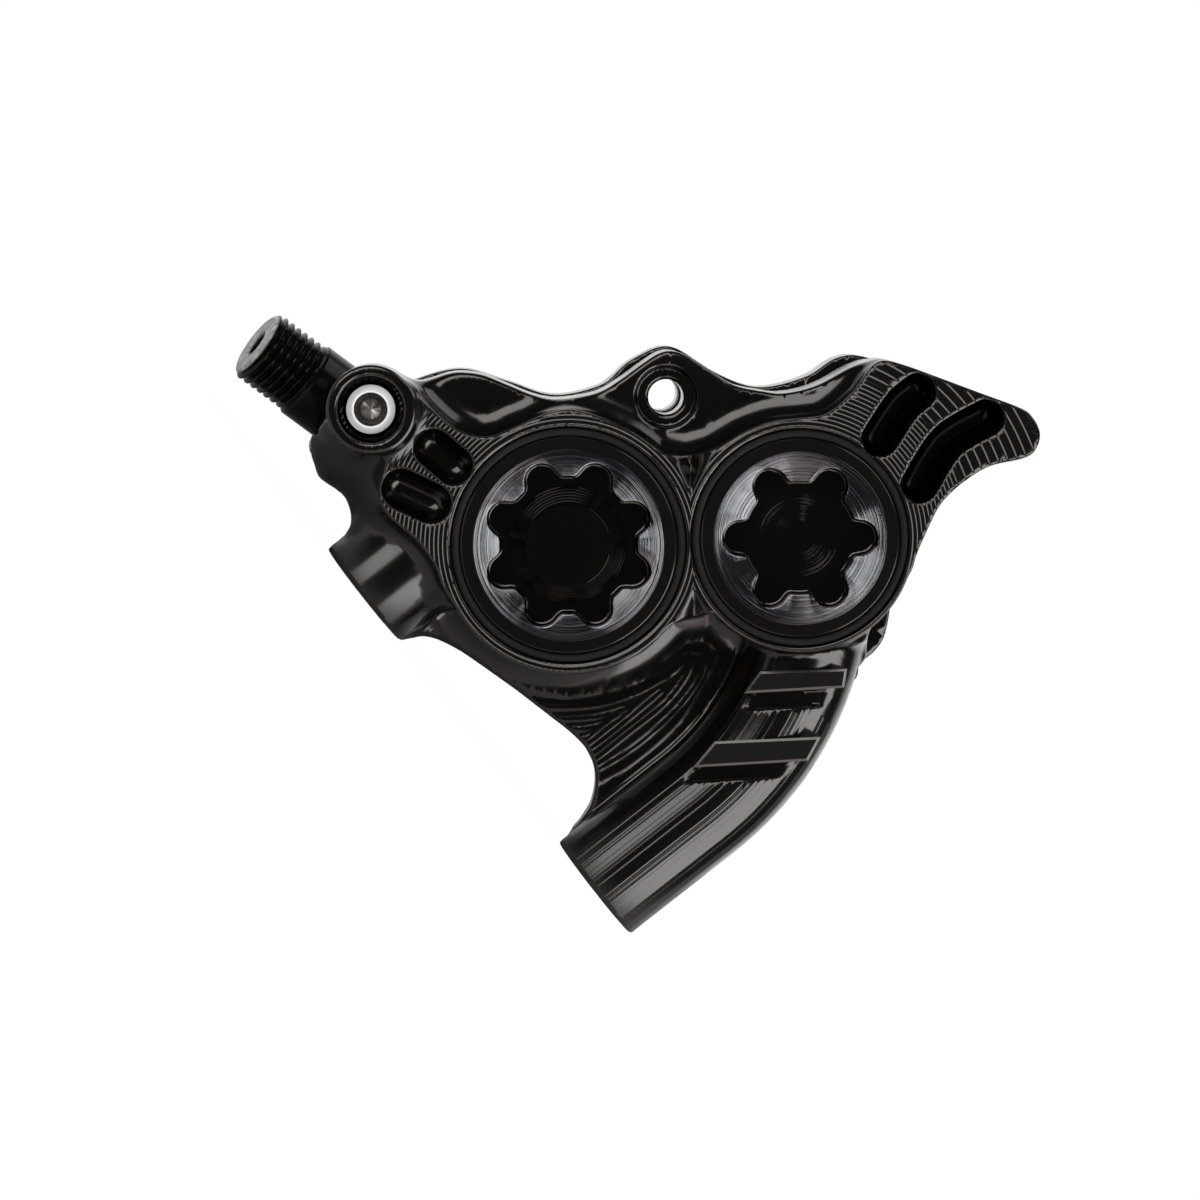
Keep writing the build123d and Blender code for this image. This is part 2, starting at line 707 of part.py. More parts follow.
def bleed_screw():
    """The hex-socket screw that closes the bleed hole with its pointed tip."""
    top = bleed_head_drop - bleed_boss_depth
    seat = top + bleed_head_height
    end = seat + bleed_shank_length - bleed_tip_length
    screw = barrel(bleed_place, bleed_head_radius, top, seat)
    screw += barrel(bleed_place, bleed_shank_radius, seat, end)
    screw += cone(bleed_place, bleed_shank_radius, bleed_passage_radius, end, end + bleed_tip_length)
    return screw - hexagon(bleed_place, bleed_hex_flats, top - overrun, top + bleed_hex_depth)


def bleed_screw_seal():
    """The ring under the head of the bleed screw."""
    seat = bleed_head_drop - bleed_boss_depth + bleed_head_height
    ring_middle = bleed_shank_radius + bleed_seal_wire_radius + seal_clearance
    ring = Rot(90, 0, 0) * Torus(ring_middle, bleed_seal_wire_radius)
    return Pos(bleed_place[0], seat + bleed_seal_wire_radius + seal_clearance, bleed_place[1]) * ring


def hose_union():
    """The threaded stub for the hose, with its oil passage and its neck in the body."""
    shank_end = union_washer_thickness + union_shank_length
    end = shank_end + union_thread_length
    stub = along_union(union_shank_radius, union_washer_thickness, shank_end)
    stub += along_union(union_thread_radius, shank_end, end - union_bevel)
    bevel = Cone(union_thread_radius, union_thread_radius - union_bevel, union_bevel)
    stub += union_frame() * Pos(0, 0, end - union_bevel / 2) * bevel
    stub += along_union(union_neck_radius, -union_neck_length, union_washer_thickness)
    return stub - along_union(union_bore_radius, -union_neck_length - overrun, end + overrun)


def hose_union_washer():
    """The sealing washer between the union and the body."""
    washer = along_union(union_washer_radius, 0, union_washer_thickness)
    return washer - along_union(union_neck_radius + thread_clearance, -overrun, overrun)


def gallery_plug():
    """The grub screw that closes the oil gallery."""
    plug_place = place(plug_share)
    face = inner_face_depth - plug_drop
    plug = barrel(plug_place, plug_radius, face - plug_length, face)
    return plug - hexagon(plug_place, plug_hex_flats, face - plug_hex_depth, face + overrun)


def write(name, shape):
    """Move one sub-part from the disc plane to the plane of the bolts, and write it."""
    export_step(Pos(0, foot_offset, 0) * shape, "parts/" + name + ".step")


os.makedirs("parts", exist_ok=True)
write("caliper_body", caliper_body())
write("large_bore_cap", large_bore_cap())
write("small_bore_cap", small_bore_cap())
write("pad_spring", pad_spring())
write("bleed_screw", bleed_screw())
write("bleed_screw_seal", bleed_screw_seal())
write("hose_union", hose_union())
write("hose_union_washer", hose_union_washer())
write("gallery_plug", gallery_plug())
for bore_name, (centre, piston_radius, cap_radius) in bores.items():
    write(bore_name + "_cap_oring", cap_oring(centre, cap_radius))
    for side_name, side in sides.items():
        name = side_name + "_" + bore_name
        write(name + "_piston", piston(centre, piston_radius, side))
        write(name + "_seal", ring_seal(centre, piston_radius, seal_groove_extra_radius,
                                        seal_width, seal_from_disc, side))
        write(name + "_wiper", ring_seal(centre, piston_radius, wiper_groove_extra_radius,
                                         wiper_width, wiper_from_disc, side))
for side_name, side in sides.items():
    write(side_name + "_pad_plate", pad_plate(side))
    write(side_name + "_pad_lining", pad_lining(side))
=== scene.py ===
"""Looks of a machined bicycle disc brake caliper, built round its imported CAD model."""
import sys

import logging
import math
from collections.abc import Sequence
from dataclasses import dataclass
from enum import Enum, auto
from typing import Any

import bmesh
import bpy
import numpy as np
import openvdb
from mathutils import Matrix, Vector


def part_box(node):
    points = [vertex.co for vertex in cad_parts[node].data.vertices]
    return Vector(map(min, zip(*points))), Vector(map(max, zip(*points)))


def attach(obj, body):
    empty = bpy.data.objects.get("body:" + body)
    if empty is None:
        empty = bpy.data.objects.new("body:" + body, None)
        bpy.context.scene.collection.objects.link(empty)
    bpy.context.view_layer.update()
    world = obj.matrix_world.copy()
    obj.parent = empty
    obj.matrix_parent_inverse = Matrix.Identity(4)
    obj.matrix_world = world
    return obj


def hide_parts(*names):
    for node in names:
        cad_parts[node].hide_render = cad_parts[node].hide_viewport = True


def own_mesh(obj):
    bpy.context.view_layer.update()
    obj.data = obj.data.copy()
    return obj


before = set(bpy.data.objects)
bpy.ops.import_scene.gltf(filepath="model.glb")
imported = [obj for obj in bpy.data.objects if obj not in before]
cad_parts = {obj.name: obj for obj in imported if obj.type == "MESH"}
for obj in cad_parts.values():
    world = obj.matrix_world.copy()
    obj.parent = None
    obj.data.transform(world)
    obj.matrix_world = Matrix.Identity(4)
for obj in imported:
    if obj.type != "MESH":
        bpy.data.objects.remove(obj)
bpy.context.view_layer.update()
log = logging.getLogger("caliper")

MM = 0.001
Array = np.ndarray
Place = tuple[float, float]
Colour = tuple[float, float, float, float]


# Places on the side view

@dataclass(frozen=True)
class SideView:
    """Turns places on the side view into X and Z, in millimetres."""

    foot_spacing: float = 34.0
    front_foot: Place = (0.365, 0.591)
    rear_foot: Place = (0.597, 0.887)

    @property
    def span(self) -> float:
        """Millimetres for one unit of the side view."""
        return self.foot_spacing / math.dist(self.front_foot, self.rear_foot)

    def place(self, spot: Place) -> Place:
        """Work out where a place lies.

        Args:
            spot: the place, as shares of the side view, the second one downwards.

        Returns:
            X and Z in millimetres.
        """
        run = math.dist(self.front_foot, self.rear_foot)
        run_x = (self.rear_foot[0] - self.front_foot[0]) / run
        run_y = (self.rear_foot[1] - self.front_foot[1]) / run
        across = spot[0] - (self.front_foot[0] + self.rear_foot[0]) / 2
        down = spot[1] - (self.front_foot[1] + self.rear_foot[1]) / 2
        return ((across * run_x + down * run_y) * self.span, (across * run_y - down * run_x) * self.span)

    def places(self, spots: Sequence[Place]) -> Array:
        """Place several spots at once, one row each."""
        return np.array([self.place(spot) for spot in spots])


SIDE = SideView()
DISC_Y = 11.0
LARGE_BORE = SIDE.place((0.570, 0.538))
SMALL_BORE = SIDE.place((0.800, 0.531))
PIN_HOLE = SIDE.place((0.668, 0.392))
BLEED_BOSS = SIDE.place((0.374, 0.403))
RING_FACE = 19.0
LARGE_RING, SMALL_RING = 11.6, 10.3
LARGE_CAP, SMALL_CAP = 9.8, 9.0
FEET_X = (-17.0, 17.0)
LEG_BEND, LEG_STRAIGHT = 27.0, 12.1
UNION_SEAT, UNION_TIP = (0.345, 0.406), (0.256, 0.339)
UNION_DEPTH, UNION_TILT = 4.0, 14.0


# Distance fields

def smooth_curve(points: Array, closed: bool, steps: int = 6) -> Array:
    """Lay a smooth curve through points.

    Args:
        points: one row for each point.
        closed: whether the curve returns to its start.
        steps: how many points stand for each stretch.

    Returns:
        The points of the curve, one row each.
    """
    before = np.roll(points, 1, 0) if closed else np.vstack([points[:1], points[:-1]])
    after = np.roll(points, -1, 0) if closed else np.vstack([points[1:], points[-1:]])
    beyond = np.roll(points, -2, 0) if closed else np.vstack([points[2:], points[-1:], points[-1:]])
    rows = []
    for share in np.linspace(0, 1, steps, endpoint=False):
        square, cube = share * share, share ** 3
        rows.append(0.5 * ((2 * points) + (after - before) * share
                           + (2 * before - 5 * points + 4 * after - beyond) * square
                           + (3 * points - before - 3 * after + beyond) * cube))
    curve = np.stack(rows, 1).reshape(-1, 2)
    return curve if closed else np.vstack([curve[:len(curve) - steps], points[-1:]])


def path_distance(points: Array, across: Array, up: Array) -> Array:
    """Measure how far places lie from an open path.

    Args:
        points: the path, one row for each point.
        across: X of the places.
        up: Z of the places.

    Returns:
        The distances.
    """
    nearest = np.full(np.broadcast(across, up).shape, 1e9, np.float32)
    for start, end in zip(points[:-1], points[1:]):
        run = end - start
        length = float(run @ run) or 1.0
        share = np.clip(((across - start[0]) * run[0] + (up - start[1]) * run[1]) / length, 0, 1)
        gap_x, gap_z = across - start[0] - share * run[0], up - start[1] - share * run[1]
        np.minimum(nearest, gap_x * gap_x + gap_z * gap_z, out=nearest)
    return np.sqrt(nearest)


def outline_distance(points: Array, across: Array, up: Array) -> Array:
    """Measure how far places lie outside a closed outline, negative inside it.

    Args:
        points: the outline, one row for each corner.
        across: X of the places.
        up: Z of the places.

    Returns:
        The signed distances.
    """
    ring = np.vstack([points, points[:1]])
    inside = np.zeros(np.broadcast(across, up).shape, bool)
    for start, end in zip(ring[:-1], ring[1:]):
        if start[1] == end[1]:
            continue
        crosses = (up < start[1]) != (up < end[1])
        edge = start[0] + (up - start[1]) * (end[0] - start[0]) / (end[1] - start[1])
        inside ^= crosses & (across < edge)
    return np.where(inside, -1, 1) * path_distance(ring, across, up)


def union(first: Array, second: Array, fillet: float | Array = 0.0) -> Array:
    """Join two fields, with a fillet where they meet."""
    near = np.hypot(np.maximum(fillet - first, 0), np.maximum(fillet - second, 0))
    return np.maximum(fillet, np.minimum(first, second)) - near


def common(first: Array, second: Array, edge: float | Array = 0.0) -> Array:
    """Keep what two fields share, with a rounded edge where they meet."""
    far = np.hypot(np.maximum(first + edge, 0), np.maximum(second + edge, 0))
    return np.minimum(-edge, np.maximum(first, second)) + far


def cut(field_: Array, tool: Array, edge: float | Array = 0.0) -> Array:
    """Take a tool's field away from another, with a broken edge."""
    return common(field_, -tool, edge)


def ease(value: Array, start: float, end: float) -> Array:
    """Rise smoothly from 0 at start to 1 at end."""
    share = np.clip((value - start) / (end - start), 0, 1)
    return share * share * (3 - 2 * share)


@dataclass
class Grid:
    """A grid of nodes in the part's frame, in millimetres."""

    low: Array
    high: Array
    step: float

    def __post_init__(self) -> None:
        """Lay out the axes."""
        axes = [np.arange(low, high + self.step, self.step, dtype=np.float32)
                for low, high in zip(self.low, self.high)]
        self.x, self.y, self.z = axes[0][:, None, None], axes[1][None, :, None], axes[2][None, None, :]
        self.depth = DISC_Y - self.y

    @property
    def flat(self) -> tuple[Array, Array]:
        """X and Z of one layer of nodes."""
        return self.x[:, 0, :], self.z[0, :, :].reshape(1, -1)

    def outline(self, spots: Sequence[Place], smooth: bool = True) -> Array:
        """Field of a prism along Y whose outline is given on the side view."""
        points = SIDE.places(spots)
        if smooth:
            points = smooth_curve(points, True)
        return outline_distance(points, *self.flat)[:, None, :]

    def path(self, spots: Sequence[Place], smooth: bool = True) -> Array:
        """Distance from a path on the side view."""
        points = SIDE.places(spots)
        if smooth and len(points) > 2:
            points = smooth_curve(points, False)
        return path_distance(points, *self.flat)[:, None, :]

    def barrel(self, centre: Place, radius: float) -> Array:
        """Field of an endless cylinder along Y."""
        return np.hypot(self.x - centre[0], self.z - centre[1]) - radius

    def rod(self, axis: "Axis", radius: float, start: float, end: float) -> Array:
        """Field of a cylinder on any axis, from one distance to another."""
        gap = [place - origin for place, origin in zip((self.x, self.y, self.z), axis.origin)]
        along = gap[0] * axis.along[0] + gap[1] * axis.along[1] + gap[2] * axis.along[2]
        square = gap[0] ** 2 + gap[1] ** 2 + gap[2] ** 2 - along ** 2
        side = np.sqrt(np.maximum(square, 0)) - radius
        return np.maximum(side, np.maximum(start - along, along - end))

    def mesh(self, values: Array, name: str, adaptivity: float) -> bpy.types.Object:
        """Turn a field into a mesh with the field's own normals.

        Args:
            values: the field on the nodes, negative inside.
            name: the name of the piece.
            adaptivity: how far flat areas may be simplified.

        Returns:
            The mesh object, in metres.
        """
        volume = openvdb.FloatGrid(background=1.0)
        volume.copyFromArray(values.astype(np.float32), tolerance=0.0)
        points, triangles, quads = volume.convertToPolygons(0.0, adaptivity)
        slopes = np.stack(np.gradient(values, self.step), -1)
        normals = self.sample(slopes, points)
        normals /= np.maximum(np.linalg.norm(normals, axis=1, keepdims=True), 1e-9)
        places = (points * self.step + self.low) * MM
        faces = [*map(tuple, quads), *map(tuple, triangles)]
        return make_mesh(name, places, faces, normals)

    def sample(self, values: Array, points: Array) -> Array:
        """Read values between the nodes, at places counted in nodes."""
        base = np.clip(np.floor(points).astype(int), 0, np.array(values.shape[:3]) - 2)
        share = points - base
        total = np.zeros((len(points), values.shape[3]))
        for corner in np.ndindex(2, 2, 2):
            weight = np.prod(np.where(corner, share, 1 - share), axis=1)
            spot = base + corner
            total += weight[:, None] * values[spot[:, 0], spot[:, 1], spot[:, 2]]
        return total


def make_mesh(name: str, places: Array, faces: Sequence[Sequence[int]],
              normals: Array | None = None) -> bpy.types.Object:
    """Make a smooth-shaded mesh object.

    Args:
        name: the name of the piece.
        places: its vertices in metres.
        faces: its faces, as numbers of vertices.
        normals: its own normals, one for each vertex.

    Returns:
        The object.
    """
    mesh = bpy.data.meshes.new(name)
    mesh.from_pydata(places.tolist(), [], faces)
    mesh.validate()
    mesh.polygons.foreach_set("use_smooth", np.ones(len(mesh.polygons), bool))
    if normals is not None:
        mesh.normals_split_custom_set_from_vertices(normals.tolist())
    piece = bpy.data.objects.new(name, mesh)
    bpy.context.scene.collection.objects.link(piece)
    return piece


def finish_mesh(piece: bpy.types.Object, sharp: float) -> bpy.types.Object:
    """Turn a piece's faces outward and keep its sharp edges.

    Args:
        piece: the piece.
        sharp: the angle in degrees over which an edge shades sharp.

    Returns:
        The same piece.
    """
    tidy = bmesh.new()
    tidy.from_mesh(piece.data)
    bmesh.ops.recalc_face_normals(tidy, faces=tidy.faces)
    tidy.to_mesh(piece.data)
    tidy.free()
    piece.data.set_sharp_from_angle(angle=math.radians(sharp))
    return piece


def inset(points: Array, distance: float) -> Array:
    """Shrink a straight-sided outline.

    Args:
        points: its corners, one row each, in either direction.
        distance: how far every side moves in.

    Returns:
        The new corners.
    """
    before, after = np.roll(points, 1, 0), np.roll(points, -1, 0)
    first, second = points - before, after - points
    first /= np.linalg.norm(first, axis=1, keepdims=True)
    second /= np.linalg.norm(second, axis=1, keepdims=True)
    turn = first[:, 0] * second[:, 1] - first[:, 1] * second[:, 0]
    return points + distance * (second - first) / np.abs(turn)[:, None]


def prism(name: str, points: Array, foot: float, face: float, bevel: tuple[float, float]) -> bpy.types.Object:
    """Make a prism along Y with a bevelled outer face.

    Args:
        name: the name of the piece.
        points: the corners of its outline, as X and Z.
        foot: the depth where it starts.
        face: the depth of its outer face.
        bevel: how wide and how deep the bevel is.

    Returns:
        The object.
    """
    loops = [(points, foot), (points, face - bevel[1]), (inset(points, bevel[0]), face)]
    places = np.vstack([np.column_stack([loop[:, 0], np.full(len(loop), DISC_Y - depth), loop[:, 1]])
                        for loop, depth in loops])
    count = len(points)
    faces = [(row * count + spot, row * count + (spot + 1) % count,
              (row + 1) * count + (spot + 1) % count, (row + 1) * count + spot)
             for row in range(2) for spot in range(count)]
    faces += [tuple(range(count)), tuple(range(2 * count, 3 * count))]
    return finish_mesh(make_mesh(name, places * MM, faces), 10.0)


# The machined block

@dataclass
class MachinedBlock:
    """The body of the caliper, worked out as one field and then meshed."""

    step: float = 0.18
    adaptivity: float = 0.04
    land: float = 14.6
    lower_web: float = 10.4
    trough: float = 7.4
    rib_face: float = 16.7
    rib_foot: float = 7.9
    rib_bevel: tuple[float, float] = (0.22, 0.1)
    cove_radius: float = 3.8
    cove_width: float = 2.35
    foot_radius: float = 5.3
    leg_turn: float = 46.0
    trough_crown: float = 4.2
    trough_slope: float = 0.75
    ridge_slope: tuple[float, float] = (0.44, 0.32)
    land_cove: tuple[float, float, float] = (2.75, 0.45, 2.1)
    dip: float = 1.7
    dip_far: tuple[float, float] = (0.6, 4.2)
    dip_near: tuple[float, float] = (0.1, 1.6)
    wall_radius: tuple[float, float] = (0.5, 1.7)
    bleed_steps: tuple[tuple[float, float, float, float], ...] = (
        (3.0, 16.7, 40.0, 0.25), (2.4, 15.9, 17.0, 0.0), (1.55, 10.7, 17.0, 0.0), (0.7, 9.0, 11.0, 0.0))
    cap_seat: float = 14.2
    bore_end: float = 13.75
    ring_groove: float = 18.1
    bores: tuple[tuple[Place, float, float], ...] = (
        (LARGE_BORE, 9.0, LARGE_CAP), (SMALL_BORE, 8.0, SMALL_CAP))
    foot_top: float = 9.5
    high_foot: float = 7.0
    left_end: Place = (-25.0, 7.5)
    bleed_boss: tuple[float, float, float] = (4.0, 9.0, 20.2)
    union_boss: tuple[float, float, float] = (4.6, -5.0, 0.0)
    union_steps: tuple[tuple[float, float, float], ...] = ((3.75, 0.0, 12.0), (2.43, -5.0, 1.0))
    bolt: tuple[float, float] = (2.1, 9.0)
    pin_radius: float = 1.6
    pin_mouth: tuple[float, float] = (2.7, 0.8)
    pin_boss: tuple[float, float] = (4.7, 0.6)
    plug_spot: Place = (0.405, 0.432)
    plug_hole: tuple[float, float] = (2.03, 11.7)
    inner_rings: tuple[float, float] = (11.3, 10.3)
    inner_arm: tuple[Place, ...] = ((0.885, 0.410), (0.800, 0.531))
    inner_arm_half: float = 3.2
    disc_way: tuple[float, float] = (62.5, 71.5)
    pad_half: tuple[float, float, float] = (18.65, 7.75, 3.25)
    inner_face: float = 16.0
    inner_web: float = 12.6
    slot_half: float = 2.5
    pocket_half: float = 5.25
    upper_spots: tuple[Place, ...] = (
        (0.330, 0.417), (0.372, 0.399), (0.411, 0.381), (0.436, 0.373), (0.452, 0.368), (0.466, 0.367),
        (0.486, 0.370), (0.511, 0.380), (0.536, 0.390), (0.560, 0.394), (0.598, 0.388), (0.620, 0.376),
        (0.642, 0.360), (0.661, 0.348), (0.675, 0.346), (0.691, 0.352), (0.713, 0.366), (0.736, 0.380),
        (0.764, 0.386), (0.786, 0.388), (0.819, 0.380), (0.857, 0.360), (0.884, 0.356), (0.905, 0.372),
        (0.915, 0.420), (0.920, 0.460), (0.914, 0.510), (0.906, 0.565), (0.889, 0.598), (0.874, 0.618),
        (0.860, 0.640), (0.800, 0.630), (0.740, 0.600), (0.690, 0.570), (0.640, 0.610), (0.570, 0.645),
        (0.500, 0.630), (0.463, 0.605), (0.448, 0.600), (0.438, 0.588), (0.425, 0.560), (0.400, 0.538),
        (0.375, 0.530), (0.359, 0.523), (0.352, 0.505), (0.345, 0.492), (0.322, 0.475), (0.316, 0.462),
        (0.312, 0.447), (0.313, 0.432), (0.320, 0.424))
    base_spots: tuple[Place, ...] = (
        (0.340, 0.430), (0.440, 0.400), (0.560, 0.420), (0.680, 0.420), (0.860, 0.400), (0.900, 0.500),
        (0.872, 0.618), (0.866, 0.662), (0.800, 0.668), (0.720, 0.668), (0.640, 0.680), (0.570, 0.684),
        (0.511, 0.676), (0.472, 0.653), (0.455, 0.643), (0.440, 0.636), (0.425, 0.633), (0.411, 0.632),
        (0.402, 0.624), (0.388, 0.600), (0.366, 0.555), (0.360, 0.521), (0.350, 0.480))
    base_top: float = 10.2
    plateau_spots: tuple[Place, ...] = (
        (0.413, 0.383), (0.428, 0.395), (0.444, 0.411), (0.461, 0.423), (0.482, 0.430), (0.502, 0.428),
        (0.522, 0.421), (0.540, 0.411), (0.555, 0.405), (0.572, 0.403), (0.590, 0.407), (0.608, 0.414),
        (0.626, 0.423), (0.645, 0.436), (0.662, 0.446), (0.686, 0.449), (0.703, 0.446), (0.719, 0.440),
        (0.745, 0.425), (0.774, 0.415), (0.802, 0.412), (0.827, 0.407), (0.852, 0.386), (0.866, 0.366),
        (0.875, 0.357), (0.886, 0.355), (0.905, 0.360), (0.930, 0.369), (0.981, 0.388), (1.016, 0.401),
        (1.030, 0.410), (1.038, 0.427),
        (1.034, 0.443), (1.022, 0.452), (0.988, 0.460), (0.963, 0.475), (0.946, 0.490), (0.935, 0.505),
        (0.921, 0.535), (0.914, 0.550), (0.904, 0.567), (0.860, 0.580), (0.800, 0.600), (0.725, 0.600),
        (0.706, 0.608), (0.686, 0.612), (0.668, 0.616), (0.650, 0.612), (0.600, 0.600), (0.500, 0.610),
        (0.452, 0.588), (0.437, 0.559), (0.421, 0.536), (0.404, 0.521),
        (0.390, 0.508), (0.382, 0.490), (0.386, 0.465), (0.396, 0.440), (0.402, 0.410))
    web_spots: tuple[Place, ...] = (
        (0.420, 0.626), (0.440, 0.637), (0.456, 0.645), (0.472, 0.655), (0.514, 0.685),
        (0.553, 0.715), (0.572, 0.730),
        (0.587, 0.745), (0.595, 0.760), (0.598, 0.775), (0.597, 0.790), (0.593, 0.805), (0.584, 0.820),
        (0.575, 0.836), (0.600, 0.858), (0.660, 0.834), (0.710, 0.795), (0.760, 0.745), (0.800, 0.690),
        (0.815, 0.640), (0.760, 0.590), (0.686, 0.580), (0.570, 0.590), (0.480, 0.600))
    trough_spots: tuple[Place, ...] = (
        (0.560, 0.812), (0.603, 0.785), (0.630, 0.770), (0.662, 0.745), (0.687, 0.720), (0.708, 0.684),
        (0.723, 0.655), (0.735, 0.610), (0.745, 0.560))
    ridge_spots: tuple[tuple[Place, ...], ...] = (
        ((0.562, 0.692), (0.577, 0.693), (0.630, 0.682), (0.668, 0.663), (0.685, 0.650),
         (0.702, 0.649)),
        ((0.530, 0.700), (0.548, 0.705), (0.598, 0.703), (0.640, 0.690), (0.672, 0.672), (0.684, 0.662)),
        ((0.546, 0.714), (0.560, 0.717), (0.598, 0.715), (0.628, 0.707)),
        ((0.560, 0.726), (0.585, 0.727), (0.605, 0.723)),
        ((0.570, 0.738), (0.588, 0.737), (0.605, 0.723), (0.622, 0.712)),
        ((0.583, 0.750), (0.594, 0.746), (0.630, 0.718), (0.664, 0.689)),
        ((0.588, 0.760), (0.598, 0.757), (0.632, 0.730), (0.668, 0.701), (0.689, 0.674), (0.694, 0.657)),
        ((0.590, 0.771), (0.602, 0.767), (0.640, 0.743), (0.678, 0.709), (0.702, 0.678), (0.708, 0.657)))
    inner_spots: tuple[Place, ...] = (
        (0.326, 0.423), (0.368, 0.401), (0.411, 0.379), (0.462, 0.366), (0.511, 0.379), (0.558, 0.393),
        (0.608, 0.382), (0.638, 0.359), (0.675, 0.345), (0.713, 0.365), (0.764, 0.385), (0.815, 0.375),
        (0.846, 0.356), (0.872, 0.353), (0.904, 0.367), (0.925, 0.400), (0.921, 0.460), (0.915, 0.530),
        (0.911, 0.580), (0.905, 0.605), (0.902, 0.625), (0.897, 0.644), (0.887, 0.658), (0.873, 0.670),
        (0.868, 0.686), (0.845, 0.693), (0.760, 0.682),
        (0.700, 0.673), (0.640, 0.678), (0.570, 0.679), (0.505, 0.655), (0.452, 0.615), (0.410, 0.560),
        (0.360, 0.505), (0.333, 0.486), (0.320, 0.455))
    inner_lobe_spots: tuple[Place, ...] = (
        (0.356, 0.500), (0.336, 0.450), (0.352, 0.404), (0.410, 0.388), (0.452, 0.398), (0.476, 0.440),
        (0.500, 0.600), (0.440, 0.585), (0.375, 0.516))
    bridge_spots: tuple[tuple[Place, ...], ...] = (
        ((0.326, 0.425), (0.411, 0.384), (0.456, 0.384), (0.456, 0.560), (0.326, 0.560)),
        ((0.905, 0.372), (0.925, 0.398), (0.925, 0.560), (0.894, 0.560), (0.894, 0.372)))
    rib_spots: tuple[tuple[Place, ...], ...] = (
        ((0.761, 0.665), (0.848, 0.6625), (0.845, 0.6815), (0.745, 0.687)),
        ((0.716, 0.735), (0.822, 0.7305), (0.809, 0.7545), (0.694, 0.761)))
    recess_spots: tuple[tuple[Place, ...], ...] = (
        ((0.744, 0.688), (0.860, 0.681), (0.856, 0.699), (0.735, 0.704)),
        ((0.692, 0.762), (0.822, 0.754), (0.812, 0.770), (0.686, 0.776)))
    recess_floor: float = 15.2
    pockets: tuple[tuple[tuple[Place, ...], float, float], ...] = (
        (((0.404, 0.482), (0.434, 0.496)), 1.75, 15.3),
        (((0.436, 0.442), (0.456, 0.459)), 1.7, 15.3),
        (((0.879, 0.432), (0.900, 0.400), (0.916, 0.386)), 1.6, 10.0),
        (((0.918, 0.478), (0.945, 0.436), (0.984, 0.412)), 1.6, 10.0))

    def build(self) -> bpy.types.Object:
        """Work out the field and mesh it.

        Returns:
            The body of the caliper.
        """
        low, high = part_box("caliper_body")
        grid = Grid(np.array(low) / MM - 3 * self.step, np.array(high) / MM + 3 * self.step, self.step)
        body = self.outer_half(grid)
        body = union(body, self.inner_half(grid), 0.4)
        body = union(body, self.bridges(grid), 0.3)
        body = self.cuts(grid, body)
        for axis, (start, end) in enumerate(zip(np.array(low) / MM, np.array(high) / MM)):
            along = (grid.x, grid.y, grid.z)[axis]
            body = np.maximum(body, np.maximum(start + 0.002 - along, along - end + 0.002))
        log.info("field of %s nodes", body.shape)
        return grid.mesh(body, "machined_body", self.adaptivity)

    def ribs(self) -> list[bpy.types.Object]:
        """Make the two ribs on the leg.

        Returns:
            The ribs, the upper one first.
        """
        return [prism(name, SIDE.places(spots), self.rib_foot, self.rib_face, self.rib_bevel)
                for name, spots in zip(("upper_rib", "lower_rib"), self.rib_spots)]

    def plateau(self, grid: Grid) -> Array:
        """Field of the outline of the high face: both rings, the fin and the left fill."""
        rings = union(grid.barrel(LARGE_BORE, LARGE_RING), grid.barrel(SMALL_BORE, SMALL_RING), 1.5)
        return union(grid.outline(self.plateau_spots), rings, 0.5)

    def outer_half(self, grid: Grid) -> Array:
        """Field of the half that faces outboard."""
        high_face = self.plateau(grid)
        block = self.shoulder(grid, high_face)
        block = union(block, self.high_block(grid, high_face), self.wall_fillet(grid))
        block = union(block, self.web(grid, high_face), 0.2)
        leg = common(self.leg(grid), -grid.z, 0.12)
        block = union(block, leg, 0.8)
        foot = common(self.upright(grid, FEET_X[0], 0.0, self.foot_top), -grid.z, 0.12)
        block = union(block, foot, 1.6)
        for spots in self.recess_spots:
            recess = common(grid.outline(spots, smooth=False), self.recess_floor - grid.depth, 0.3)
            block = cut(block, recess, 0.2)
        radius, start, end = self.bleed_boss
        boss = common(grid.barrel(BLEED_BOSS, radius), grid.depth - end, 0.35)
        block = union(block, np.maximum(boss, start - grid.depth), 1.6)
        return union(block, grid.rod(Axis.of_union(), *self.union_boss), 1.2)

    def shoulder(self, grid: Grid, high_face: Array) -> Array:
        """Field of the upper block, with its land, its cove along the rings and its round left end."""
        outline = grid.outline(self.upper_spots)
        x, z = grid.x, grid.z
        left_x, left_z = self.left_end
        left = np.exp(-((x - left_x) ** 2 + (z - left_z) ** 2) / 40.0)
        edge = 0.35 + 5.2 * np.clip(left * 1.4, 0, 1)
        radius, first, width = self.land_cove
        swing = np.clip(width + first - np.maximum(high_face, 0), first, radius * 0.96)
        cove = math.sqrt(radius ** 2 - first ** 2) - np.sqrt(radius ** 2 - swing ** 2)
        block = common(outline, (grid.depth - self.land - cove) * 0.93, edge)
        base = common(grid.outline(self.base_spots), grid.depth - self.base_top, 0.5)
        return np.maximum(union(block, base, 1.0), self.slot_half - grid.depth)

    def high_block(self, grid: Grid, high_face: Array) -> Array:
        """Field of everything at the height of the ring faces, which dips between the rings."""
        large, small = grid.barrel(LARGE_BORE, LARGE_RING), grid.barrel(SMALL_BORE, SMALL_RING)
        far, near = np.maximum(large, small), np.minimum(large, small)
        dip = (1 - ease(far, *self.dip_far)) * ease(near, *self.dip_near)
        block = common(high_face, grid.depth - RING_FACE + dip * self.dip, 0.22)
        return np.maximum(block, self.high_foot - grid.depth)

